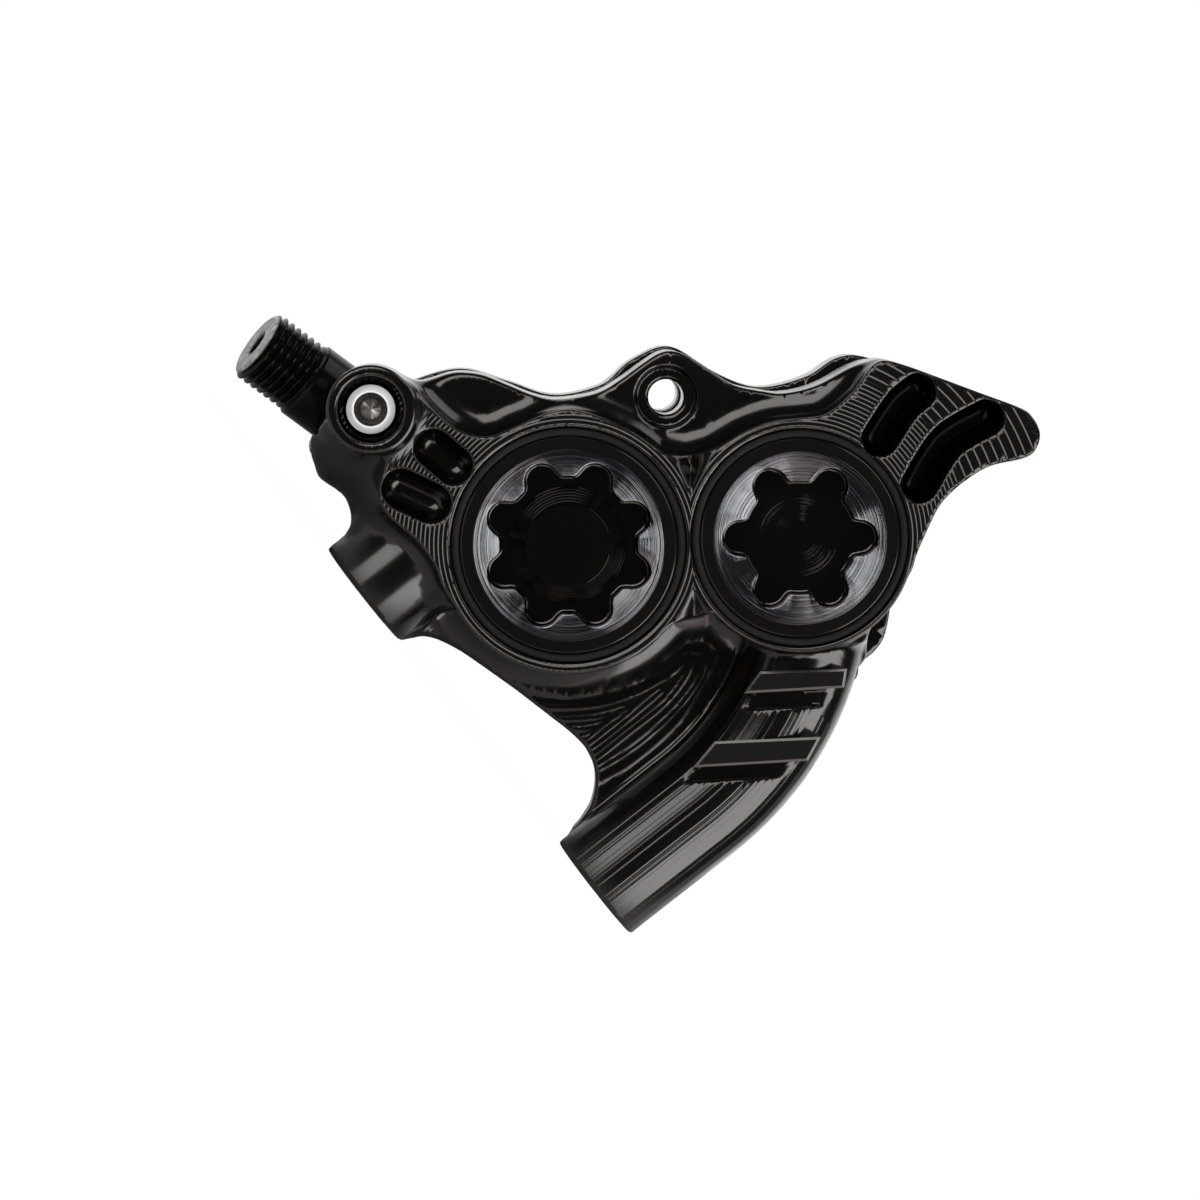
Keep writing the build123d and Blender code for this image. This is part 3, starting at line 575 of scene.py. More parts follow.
    def wall_fillet(self, grid: Grid) -> Array:
        """Radius of the fillet at the foot of the high walls: larger on the left and below."""
        left = ease(-grid.x, 13.0, 20.0) * ease(-grid.z, -14.0, -9.0)
        return self.wall_radius[0] + self.wall_radius[1] * left

    def web(self, grid: Grid, high_face: Array) -> Array:
        """Field of the lower web: milled passes, then the trough along the leg."""
        outline = grid.outline(self.web_spots)
        trough_path = smooth_curve(SIDE.places(self.trough_spots), False)
        gap = path_distance(trough_path, *grid.flat)[:, None, :]
        closed = np.vstack([trough_path, SIDE.places(((0.30, 0.50), (0.30, 0.85)))])
        beyond = np.where(outline_distance(closed, *grid.flat)[:, None, :] < 0, 0, gap)
        nearest = np.minimum.reduce([grid.path(spots) for spots in self.ridge_spots])
        nearest = np.clip(np.minimum(nearest, gap), 0, 0.69)
        ridges = self.lower_web - self.ridge_slope[0] * nearest + self.ridge_slope[1] * nearest ** 2
        swing = np.clip(self.cove_width - high_face, 0, self.cove_width)
        cove = self.lower_web + self.cove_radius - np.sqrt(self.cove_radius ** 2 - swing ** 2)
        cove = cove - 0.4 * np.maximum(high_face - self.cove_width, 0)
        height = np.maximum(cove, ridges)
        crown = np.clip(beyond, 0, 2.0)
        fall = self.trough_crown - np.sqrt(self.trough_crown ** 2 - crown ** 2)
        fall = fall + np.clip(beyond - 2.0, 0, 10) * self.trough_slope
        fall = np.minimum(fall, self.lower_web - self.trough) * ease(high_face, 0.2, 2.6)
        height = np.where(beyond > 0, np.maximum(height, self.lower_web), height) - fall
        web = common(outline, (grid.depth - height) * 0.9, 0.3)
        return np.maximum(web, self.pocket_half - grid.depth)

    def leg(self, grid: Grid) -> Array:
        """Field of the round leg: straight from its foot, then along an arc."""
        x = FEET_X[1]
        points = [(x, -2.0), (x, LEG_STRAIGHT)]
        points += [(x - LEG_BEND + LEG_BEND * math.cos(angle), LEG_STRAIGHT + LEG_BEND * math.sin(angle))
                   for angle in np.linspace(0, math.radians(self.leg_turn), 24)[1:]]
        away = path_distance(np.array(points), *grid.flat)[:, None, :]
        return np.hypot(away, grid.depth - DISC_Y) - self.foot_radius

    def upright(self, grid: Grid, x: float, start: float, end: float) -> Array:
        """Field of a round bar along Z in the plane of the bolts."""
        bar = np.hypot(grid.x - x, grid.depth - DISC_Y) - self.foot_radius
        return np.maximum(bar, np.maximum(start - 2.0 - grid.z, grid.z - end))

    def inner_half(self, grid: Grid) -> Array:
        """Field of the half that faces inboard, with a high face round both bores."""
        outline = grid.outline(self.inner_spots)
        depth = -grid.depth
        large, small = self.inner_rings
        rings = union(grid.barrel(LARGE_BORE, large), grid.barrel(SMALL_BORE, small), 3.0)
        rings = union(rings, grid.outline(self.inner_lobe_spots), 2.0)
        rings = union(rings, grid.path(self.inner_arm) - self.inner_arm_half, 2.0)
        web = common(outline, depth - self.inner_web, 1.2)
        high = common(common(rings, outline, 0.8), depth - self.inner_face, 1.2)
        half = union(web, high, 1.2)
        boss = common(grid.barrel(PIN_HOLE, self.pin_boss[0]), outline, 0.3)
        boss = common(boss, depth - self.inner_web - self.pin_boss[1], 0.3)
        half = union(half, np.maximum(boss, self.slot_half - depth), 0.6)
        return np.maximum(half, self.slot_half - depth)

    def bridges(self, grid: Grid) -> Array:
        """Field of the two bridges over the edge of the disc."""
        first, second = [grid.outline(spots, smooth=False) for spots in self.bridge_spots]
        inside = grid.outline(self.inner_spots)
        both = np.maximum(np.minimum(first, second), inside)
        return np.maximum(both, np.abs(grid.depth) - self.slot_half)

    def cuts(self, grid: Grid, body: Array) -> Array:
        """Take every hole, bore, slot and pocket out of the body."""
        depth = grid.depth
        middle = (np.array(LARGE_BORE) + np.array(SMALL_BORE)) / 2
        run = np.array(SMALL_BORE) - np.array(LARGE_BORE)
        across = np.array([run[1], -run[0]]) / np.linalg.norm(run)
        away, radius = self.disc_way
        disc = np.maximum(grid.barrel(tuple(middle + across * away), radius), np.abs(depth) - self.slot_half)
        body = cut(body, disc, 0.12)
        pads = np.maximum(self.pad_outline(grid, middle, run), np.abs(depth) - self.pocket_half)
        body = cut(body, pads, 0.1)
        for bore, piston, cap in self.bores:
            oil = np.maximum(depth - self.cap_seat, -self.bore_end - depth)
            body = np.maximum(body, -np.maximum(grid.barrel(bore, piston + 0.05), oil))
            body = np.maximum(body, -np.maximum(grid.barrel(bore, cap + 0.1), self.cap_seat - depth))
            body = cut(body, np.maximum(grid.barrel(bore, cap + 0.8), self.ring_groove - depth), 0.2)
        for x in FEET_X:
            hole = np.maximum(np.hypot(grid.x - x, depth - DISC_Y) - self.bolt[0], grid.z - self.bolt[1])
            body = cut(body, hole, 0.3)
        body = cut(body, grid.barrel(PIN_HOLE, self.pin_radius), 0.1)
        mouth = grid.barrel(PIN_HOLE, self.pin_mouth[0])
        body = cut(body, np.maximum(mouth, self.land - self.pin_mouth[1] - depth), 0.35)
        body = self.bleed_hole(grid, body)
        for spots, radius, floor in self.pockets:
            away = grid.path(spots)
            tool = np.hypot(np.maximum(away, 0), np.minimum(depth - floor - radius, 0)) - radius
            body = cut(body, tool, 0.25)
        for step in self.union_steps:
            body = np.maximum(body, -grid.rod(Axis.of_union(), *step))
        plug = grid.barrel(SIDE.place(self.plug_spot), self.plug_hole[0])
        return cut(body, np.maximum(plug, depth + self.plug_hole[1]), 0.15)

    def bleed_hole(self, grid: Grid, body: Array) -> Array:
        """Take the stepped hole of the bleed screw out of the body."""
        for radius, start, end, edge in self.bleed_steps:
            span = np.maximum(start - grid.depth, grid.depth - end)
            tool = np.maximum(grid.barrel(BLEED_BOSS, radius), span)
            body = cut(body, tool, edge) if edge else np.maximum(body, -tool)
        return body

    def pad_outline(self, grid: Grid, middle: Array, run: Array) -> Array:
        """Field of the pads' outline with their clearance, as a prism along Y."""
        along = run / np.linalg.norm(run)
        first = (grid.x - middle[0]) * along[0] + (grid.z - middle[1]) * along[1]
        second = (grid.z - middle[1]) * along[0] - (grid.x - middle[0]) * along[1]
        length, height, corner = self.pad_half
        gap = [np.abs(first) - length + corner, np.abs(second) - height + corner]
        outside = np.hypot(np.maximum(gap[0], 0), np.maximum(gap[1], 0))
        plate = outside + np.minimum(np.maximum(*gap), 0) - corner
        neck = path_distance(np.array([middle, PIN_HOLE]), *grid.flat)[:, None, :] - 3.35
        return np.minimum(plate, neck)


# Turned pieces

@dataclass(frozen=True)
class Axis:
    """The axis of a turned piece: where it starts and which way it runs, in millimetres."""

    origin: tuple[float, float, float]
    along: tuple[float, float, float]
    across: tuple[float, float, float]

    @classmethod
    def facing_out(cls, centre: Place) -> "Axis":
        """An axis through a place on the side view, along which distances are depths."""
        return cls((centre[0], DISC_Y, centre[1]), (0.0, -1.0, 0.0), (1.0, 0.0, 0.0))

    @classmethod
    def of_union(cls) -> "Axis":
        """The axis of the hose union, from its seat out along the hose."""
        seat, tip = np.array(SIDE.place(UNION_SEAT)), np.array(SIDE.place(UNION_TIP))
        flat = (tip - seat) / np.linalg.norm(tip - seat)
        tilt = math.radians(UNION_TILT)
        along = np.array([flat[0] * math.cos(tilt), -math.sin(tilt), flat[1] * math.cos(tilt)])
        across = np.cross(along, (0.0, 1.0, 0.0))
        across /= np.linalg.norm(across)
        return cls((seat[0], DISC_Y - UNION_DEPTH, seat[1]), tuple(along), tuple(across))

    def spots(self, radii: Array, angles: Array, heights: Array) -> Array:
        """Turn radii, angles and heights into places in metres.

        Args:
            radii: distances from the axis.
            angles: angles about it, in radians.
            heights: distances along it.

        Returns:
            One row for each place.
        """
        along, across = np.array(self.along), np.array(self.across)
        third = np.cross(across, along)
        radii, angles, heights = (np.ravel(item) for item in np.broadcast_arrays(radii, angles, heights))
        out = np.outer(radii * np.cos(angles), across) + np.outer(radii * np.sin(angles), third)
        return (np.array(self.origin) + out + np.outer(heights, along)) * MM


def turned(name: str, axis: Axis, rows: Sequence[tuple[Any, float]], count: int = 192,
           closed: bool = True, sharp: float = 24.0) -> bpy.types.Object:
    """Skin a run of loops about an axis.

    Args:
        name: the name of the piece.
        axis: its axis.
        rows: each loop as its radius, or its radii for all angles, and its height.
        count: how many places make a loop.
        closed: whether the first and the last loop are closed, or else joined to each other.
        sharp: the angle in degrees over which an edge shades sharp.

    Returns:
        The object.
    """
    angles = np.linspace(0, 2 * math.pi, count, endpoint=False)
    places = np.vstack([axis.spots(np.broadcast_to(radii, count), angles, height) for radii, height in rows])
    faces = []
    last = len(rows) - 1 if closed else len(rows)
    for row in range(last):
        first, second = row * count, (row + 1) % len(rows) * count
        for spot in range(count):
            after = (spot + 1) % count
            faces.append((first + spot, first + after, second + after, second + spot))
    if closed:
        faces += [tuple(range(count))[::-1], tuple(range((len(rows) - 1) * count, len(rows) * count))]
    return finish_mesh(make_mesh(name, places, faces), sharp)


@dataclass
class DrivingSocket:
    """The lobed socket that a cap is driven by."""

    tip_radius: float
    lobe_radius: float
    lobe_centre: float
    lobes: int
    turn: float
    tooth_rounding: float = 0.45

    def field(self, radii: Array, angles: Array) -> Array:
        """Field of the socket's outline, from radii and angles about its centre."""
        step = 2 * math.pi / self.lobes
        swing = (angles - math.radians(self.turn) + step / 2) % step - step / 2
        lobe = np.hypot(radii * np.cos(swing) - self.lobe_centre, radii * np.sin(swing)) - self.lobe_radius
        return union(radii - self.tip_radius, lobe, self.tooth_rounding)

    def radii(self, grow: float, count: int = 192) -> Array:
        """Find the outline, grown or shrunk.

        Args:
            grow: how far outside the socket's wall it runs.
            count: how many places make a loop.

        Returns:
            Its radii for all angles.
        """
        angles = np.linspace(0, 2 * math.pi, count, endpoint=False)
        low, high = np.full(count, self.tip_radius * 0.6), np.full(count, self.lobe_centre + 3.0)
        for _ in range(30):
            middle = (low + high) / 2
            inside = self.field(middle, angles) < grow
            low, high = np.where(inside, middle, low), np.where(inside, high, middle)
        return (low + high) / 2


@dataclass
class BoreCap:
    """A cap over a bore: turned rim, flat face and driving socket."""

    name: str
    centre: Place
    radius: float
    socket: DrivingSocket
    back: float = 14.2
    face: float = 18.9
    rim_width: float = 1.2
    rim_drop: float = 0.14
    socket_depth: float = 2.6
    edge: float = 0.16
    wall_foot: float = 0.35

    def build(self) -> bpy.types.Object:
        """Make the cap in place of its solid.

        Returns:
            The cap.
        """
        floor = self.face - self.socket_depth
        flat = self.face - self.rim_drop
        rows = [(self.radius, self.back), (self.radius, flat - 0.3), (self.radius - 0.06, flat - 0.14),
                (self.radius - 0.2, flat - 0.04), (self.radius - self.rim_width + 0.04, flat),
                (self.radius - self.rim_width, flat + 0.03), (self.radius - self.rim_width - 0.05, self.face)]
        rows += [(self.socket.radii(self.edge), self.face),
                 (self.socket.radii(self.edge * 0.25), self.face - self.edge * 0.3),
                 (self.socket.radii(0.0), self.face - self.edge)]
        rows += [(self.socket.radii(-self.wall_foot * (1 - math.cos(turn))),
                  floor + self.wall_foot * (1 - math.sin(turn)))
                 for turn in np.linspace(0, math.pi / 2, 6)]
        rows += self.centre_rows(floor)
        piece = turned("turned_" + self.name, Axis.facing_out(self.centre), rows)
        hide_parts(self.name)
        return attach(piece, "body")

    def centre_rows(self, floor: float) -> list[tuple[Any, float]]:
        """Loops of what stands in the middle of the socket."""
        raise NotImplementedError


@dataclass
class BossedCap(BoreCap):
    """The large cap, with a stepped boss in the middle of its socket."""

    boss_base: float = 5.2
    boss_top: float = 3.75
    steps: int = 6
    lip: float = 0.15

    def centre_rows(self, floor: float) -> list[tuple[Any, float]]:
        """Loops of the boss, step by step up to its flat top."""
        top = self.face
        rows: list[tuple[Any, float]] = []
        width = (self.boss_base - self.boss_top) / self.steps
        rise = (top - floor) / (self.steps + 0.4)
        for step in range(self.steps):
            radius, height = self.boss_base - step * width, floor + step * rise
            rows += [(radius, height), (radius - width * 0.35, height + rise * 0.86),
                     (radius - width * 0.5, height + rise)]
        return rows + [(self.boss_top, top - self.lip), (self.boss_top - 0.1, top), (0.3, top)]


@dataclass
class DishedCap(BoreCap):
    """The small cap, with a dished floor."""

    dish_radius: float = 4.2
    dish_floor: float = 1.4
    dish_depth: float = 0.6

    def centre_rows(self, floor: float) -> list[tuple[Any, float]]:
        """Loops of the dish, down to its flat middle."""
        low = floor - self.dish_depth
        rows: list[tuple[Any, float]] = [(self.dish_radius + 0.2, floor), (self.dish_radius, floor - 0.015)]
        middle = (self.dish_radius + self.dish_floor) / 2
        rows += [(middle + 0.25, (floor + low) / 2 + 0.05), (middle + 0.2, (floor + low) / 2 - 0.03)]
        return rows + [(self.dish_floor + 0.05, low + 0.02), (self.dish_floor - 0.05, low), (0.3, low)]


@dataclass
class HoseUnion:
    """The threaded stub that the hose screws on to."""

    thread_radius: float = 3.5
    thread_length: float = 5.6
    thread_pitch: float = 0.75
    thread_depth: float = 0.42
    shank_radius: float = 3.7
    shank_length: float = 4.2
    washer: float = 0.6
    neck_radius: float = 2.4
    neck_length: float = 5.0
    bore: float = 1.1
    bevel: float = 0.5
    count: int = 96

    @property
    def end(self) -> float:
        """How far its end face lies from its seat."""
        return self.washer + self.shank_length + self.thread_length

    def build(self) -> bpy.types.Object:
        """Make the stub in place of its solid.

        Returns:
            The stub.
        """
        shank_end, end = self.washer + self.shank_length, self.end
        rows: list[tuple[Any, float]] = [
            (self.bore, -self.neck_length), (self.neck_radius - 0.2, -self.neck_length),
            (self.neck_radius, 0.2 - self.neck_length), (self.neck_radius, self.washer),
            (self.shank_radius - 0.15, self.washer), (self.shank_radius, self.washer + 0.15),
            (self.shank_radius, shank_end - 0.2), (self.shank_radius - 0.2, shank_end)]
        rows += self.thread(shank_end, end)
        rows += [(self.thread_radius - self.bevel - 0.12, end), (self.bore + 0.35, end),
                 (self.bore + 0.08, end - 0.3), (self.bore, end - 0.4)]
        piece = turned("threaded_union", Axis.of_union(), rows, self.count, closed=False)
        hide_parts("hose_union")
        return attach(piece, "body")

    def thread(self, start: float, end: float) -> list[tuple[Any, float]]:
        """Work out the loops of the thread, which runs out at its root and at the bevel."""
        angles = np.linspace(0, 2 * math.pi, self.count, endpoint=False)
        rows = []
        for height in np.arange(start, end - 0.05, self.thread_pitch / 10):
            turn = (height / self.thread_pitch - angles / (2 * math.pi)) % 1.0
            tooth = np.clip(np.abs(2 * turn - 1) * 1.25 - 0.1, 0, 1)
            run_in = min(1.0, (height - start) / 0.6)
            crest = min(self.thread_radius, self.thread_radius - self.bevel + (end - height) * 1.0)
            root = self.thread_radius - self.thread_depth * run_in
            rows.append((np.minimum(root + self.thread_depth * run_in * tooth, crest), float(height)))
        return rows


@dataclass
class BleedScrew:
    """The stainless hex-socket screw in its boss."""

    boss_face: float = 20.2
    drop: float = 0.9
    head_radius: float = 2.2
    head_height: float = 2.6
    shank_radius: float = 1.5
    shank_length: float = 6.0
    tip_length: float = 1.2
    tip_radius: float = 0.7
    hex_flats: float = 2.5
    hex_depth: float = 1.8
    hex_turn: float = 18.75
    chamfer: float = 0.5

    def build(self) -> bpy.types.Object:
        """Make the screw in place of its solid.

        Returns:
            The screw.
        """
        top = self.boss_face - self.drop
        seat, count = top - self.head_height, 192
        end = seat - self.shank_length
        angles = np.linspace(0, 2 * math.pi, count, endpoint=False)
        sixth = math.pi / 3
        swing = (angles - math.radians(self.hex_turn)) % sixth - sixth / 2
        hexagon = self.hex_flats / 2 / np.cos(swing)
        rows: list[tuple[Any, float]] = [(self.tip_radius, end), (self.shank_radius, end + self.tip_length)]
        rows += [(self.shank_radius, seat), (self.head_radius - 0.1, seat), (self.head_radius, seat + 0.1),
                 (self.head_radius, top - self.chamfer * 0.8), (self.head_radius - self.chamfer, top),
                 (hexagon + 0.07, top)]
        rows += [(hexagon, top - 0.07), (hexagon, top - self.hex_depth),
                 (0.95, top - self.hex_depth), (0.9, top - self.hex_depth - 0.05),
                 (0.05, top - self.hex_depth - 0.5)]
        piece = turned("hex_screw", Axis.facing_out(BLEED_BOSS), rows, count)
        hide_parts("bleed_screw")
        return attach(piece, "bleed_screw")


@dataclass
class PadSpring:
    """The spring leaf between the pads, copied as it stands and carried with the body."""

    joint: str = "outer_pad_slide"
    travel: float = 1.15

    def build(self) -> bpy.types.Object:
        """Make the leaf in place of its solid.

        Returns:
            The leaf.
        """
        piece = bpy.data.objects.new("folding_spring", bpy.data.objects["pad_spring"].data.copy())
        bpy.context.scene.collection.objects.link(piece)
        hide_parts("pad_spring")
        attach(piece, "body")
        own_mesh(piece)
        return piece


# Finishes

class Operation(Enum):
    """What a Math or Vector Math node works out, under Blender's own names."""

    ABSOLUTE = auto()
    ADD = auto()
    DIVIDE = auto()
    DOT_PRODUCT = auto()
    GREATER_THAN = auto()
    LENGTH = auto()
    LESS_THAN = auto()
    MAXIMUM = auto()
    MULTIPLY = auto()
    NORMALIZE = auto()
    POWER = auto()
    SCALE = auto()
    SINE = auto()
    SUBTRACT = auto()


@dataclass(frozen=True)
class Signal:
    """An output socket with the operators that shader maths needs."""

    graph: "Graph"
    socket: bpy.types.NodeSocket

    def __add__(self, other: "Signal | float") -> "Signal":
        """Sum of two values."""
        return self.graph.math(Operation.ADD, self, other)

    __radd__ = __add__

    def __sub__(self, other: "Signal | float") -> "Signal":
        """Difference of two values."""
        return self.graph.math(Operation.SUBTRACT, self, other)

    def __rsub__(self, other: "Signal | float") -> "Signal":
        """Difference, with the number first."""
        return self.graph.math(Operation.SUBTRACT, other, self)

    def __mul__(self, other: "Signal | float") -> "Signal":
        """Product of two values."""
        return self.graph.math(Operation.MULTIPLY, self, other)

    __rmul__ = __mul__

    def __truediv__(self, other: "Signal | float") -> "Signal":
        """Quotient of two values."""
        return self.graph.math(Operation.DIVIDE, self, other)

    def __pow__(self, other: "Signal | float") -> "Signal":
        """Power of a value."""
        return self.graph.math(Operation.POWER, self, other)

    def __lt__(self, other: "Signal | float") -> "Signal":
        """1 where the value is less, else 0."""
        return self.graph.math(Operation.LESS_THAN, self, other)

    def __gt__(self, other: "Signal | float") -> "Signal":
        """1 where the value is greater, else 0."""
        return self.graph.math(Operation.GREATER_THAN, self, other)

    def sine(self) -> "Signal":
        """Sine of the value."""
        return self.graph.math(Operation.SINE, self)

    def __abs__(self) -> "Signal":
        """The value without its sign."""
        return self.graph.math(Operation.ABSOLUTE, self)

    def most(self, other: "Signal | float") -> "Signal":
        """Larger of two values."""
        return self.graph.math(Operation.MAXIMUM, self, other)

    def rise(self, start: float, end: float) -> "Signal":
        """Rise smoothly from 0 at start to 1 at end."""
        return self.graph.node("ShaderNodeMapRange", {"interpolation_type": "SMOOTHSTEP"},
                               {"Value": self, "From Min": start, "From Max": end}, "Result")


@dataclass
class Graph:
    """The nodes of one material or of the world."""

    tree: bpy.types.NodeTree

    def node(self, kind: str, settings: dict[str, Any], inputs: dict[str | int, Any],
             output: str | int = 0) -> Signal:
        """Add a node.

        Args:
            kind: the node's type.
            settings: its settings, which are set first.
            inputs: the values or links of its sockets.
            output: the socket to hand back.

        Returns:
            That output socket.
        """
        node = self.tree.nodes.new(kind)
        for name, value in settings.items():
            setattr(node, name, value)
        for name, value in inputs.items():
            if isinstance(value, Signal):
                self.tree.links.new(value.socket, node.inputs[name])
            else:
                node.inputs[name].default_value = value
        return Signal(self, node.outputs[output])

    def math(self, operation: Operation, first: "Signal | float", second: "Signal | float" = 0.0) -> Signal:
        """Add a Math node."""
        return self.node("ShaderNodeMath", {"operation": operation.name}, {0: first, 1: second})

    def vector(self, operation: Operation, first: Any, second: Any = (0.0, 0.0, 0.0)) -> Signal:
        """Add a Vector Math node."""
        return self.node("ShaderNodeVectorMath", {"operation": operation.name}, {0: first, 1: second})

    def scaled(self, vector: Signal, factor: "Signal | float") -> Signal:
        """Multiply a vector by a value."""
        return self.node("ShaderNodeVectorMath", {"operation": Operation.SCALE.name},
                         {0: vector, "Scale": factor})

    def spot(self) -> Signal:
        """Where a point of the surface lies, in millimetres."""
        return self.scaled(self.node("ShaderNodeTexCoord", {}, {}, "Object"), 1 / MM)

    def place(self) -> tuple[Signal, ...]:
        """X, Y and Z of a point of the surface, in millimetres."""
        parts = self.node("ShaderNodeSeparateXYZ", {}, {0: self.spot()})
        return tuple(Signal(self, output) for output in parts.socket.node.outputs)

    def normal(self) -> Signal:
        """The normal of the surface."""
        return self.node("ShaderNodeNewGeometry", {}, {}, "Normal")

    def join(self, x: "Signal | float", y: "Signal | float", z: "Signal | float") -> Signal:
        """Make a vector of three values."""
        return self.node("ShaderNodeCombineXYZ", {}, {0: x, 1: y, 2: z})

    def part(self, vector: Signal, which: int) -> Signal:
        """Take one value out of a vector."""
        parts = self.node("ShaderNodeSeparateXYZ", {}, {0: vector})
        return Signal(self, parts.socket.node.outputs[which])

    def noise(self, spot: Signal, scale: float, detail: float = 2.0) -> Signal:
        """Soft noise, from 0 to 1."""
        return self.node("ShaderNodeTexNoise", {}, {"Vector": spot, "Scale": scale, "Detail": detail})

    def line_noise(self, along: Signal, scale: float, detail: float = 2.0) -> Signal:
        """Noise that changes along one value only, from 0 to 1."""
        return self.node("ShaderNodeTexNoise", {"noise_dimensions": "1D"},
                         {"W": along, "Scale": scale, "Detail": detail})

    def mixed(self, first: Signal, second: Signal, share: Signal) -> Signal:
        """Go from one value to another by a share."""
        return first + (second - first) * share

    def away(self, x: Signal, z: Signal, centre: Place) -> Signal:
        """The vector from an axis along Y to a point."""
        return self.join(x - centre[0], 0.0, z - centre[1])

    def length(self, vector: Signal) -> Signal:
        """How long a vector is."""
        return self.node("ShaderNodeVectorMath", {"operation": Operation.LENGTH.name}, {0: vector}, "Value")

    def unit(self, vector: Signal) -> Signal:
        """The vector's direction."""
        return self.vector(Operation.NORMALIZE, vector)

    def facing(self) -> Signal:
        """How far the surface faces outboard, from -1 to 1."""
        return 0.0 - self.part(self.normal(), 1)

    def bump(self, height: Signal, strength: float, rise: float) -> Signal:
        """Normal of a height that rises by so many millimetres."""
        return self.node("ShaderNodeBump", {},
                         {"Height": height, "Strength": strength, "Distance": rise * MM})

    def shades(self, first: Any, second: Any, share: "Signal | float") -> Signal:
        """Mix two colours by a share."""
        return self.node("ShaderNodeMix", {"data_type": "RGBA"}, {0: share, 6: first, 7: second}, 2)


def start_material(name: str) -> tuple[bpy.types.Material, Graph, bpy.types.Node]:
    """Make a material with one Principled shader.

    Args:
        name: the material's name.

    Returns:
        The material, its graph and the shader.
    """
    material = bpy.data.materials.new(name)
    material.use_nodes = True
    return material, Graph(material.node_tree), material.node_tree.nodes["Principled BSDF"]


def feed(graph: Graph, shader: bpy.types.Node, inputs: dict[str, Any]) -> None:
    """Set or link sockets of a shader."""
    for name, value in inputs.items():
        if isinstance(value, Signal):
            graph.tree.links.new(value.socket, shader.inputs[name])
        else:
            shader.inputs[name].default_value = value


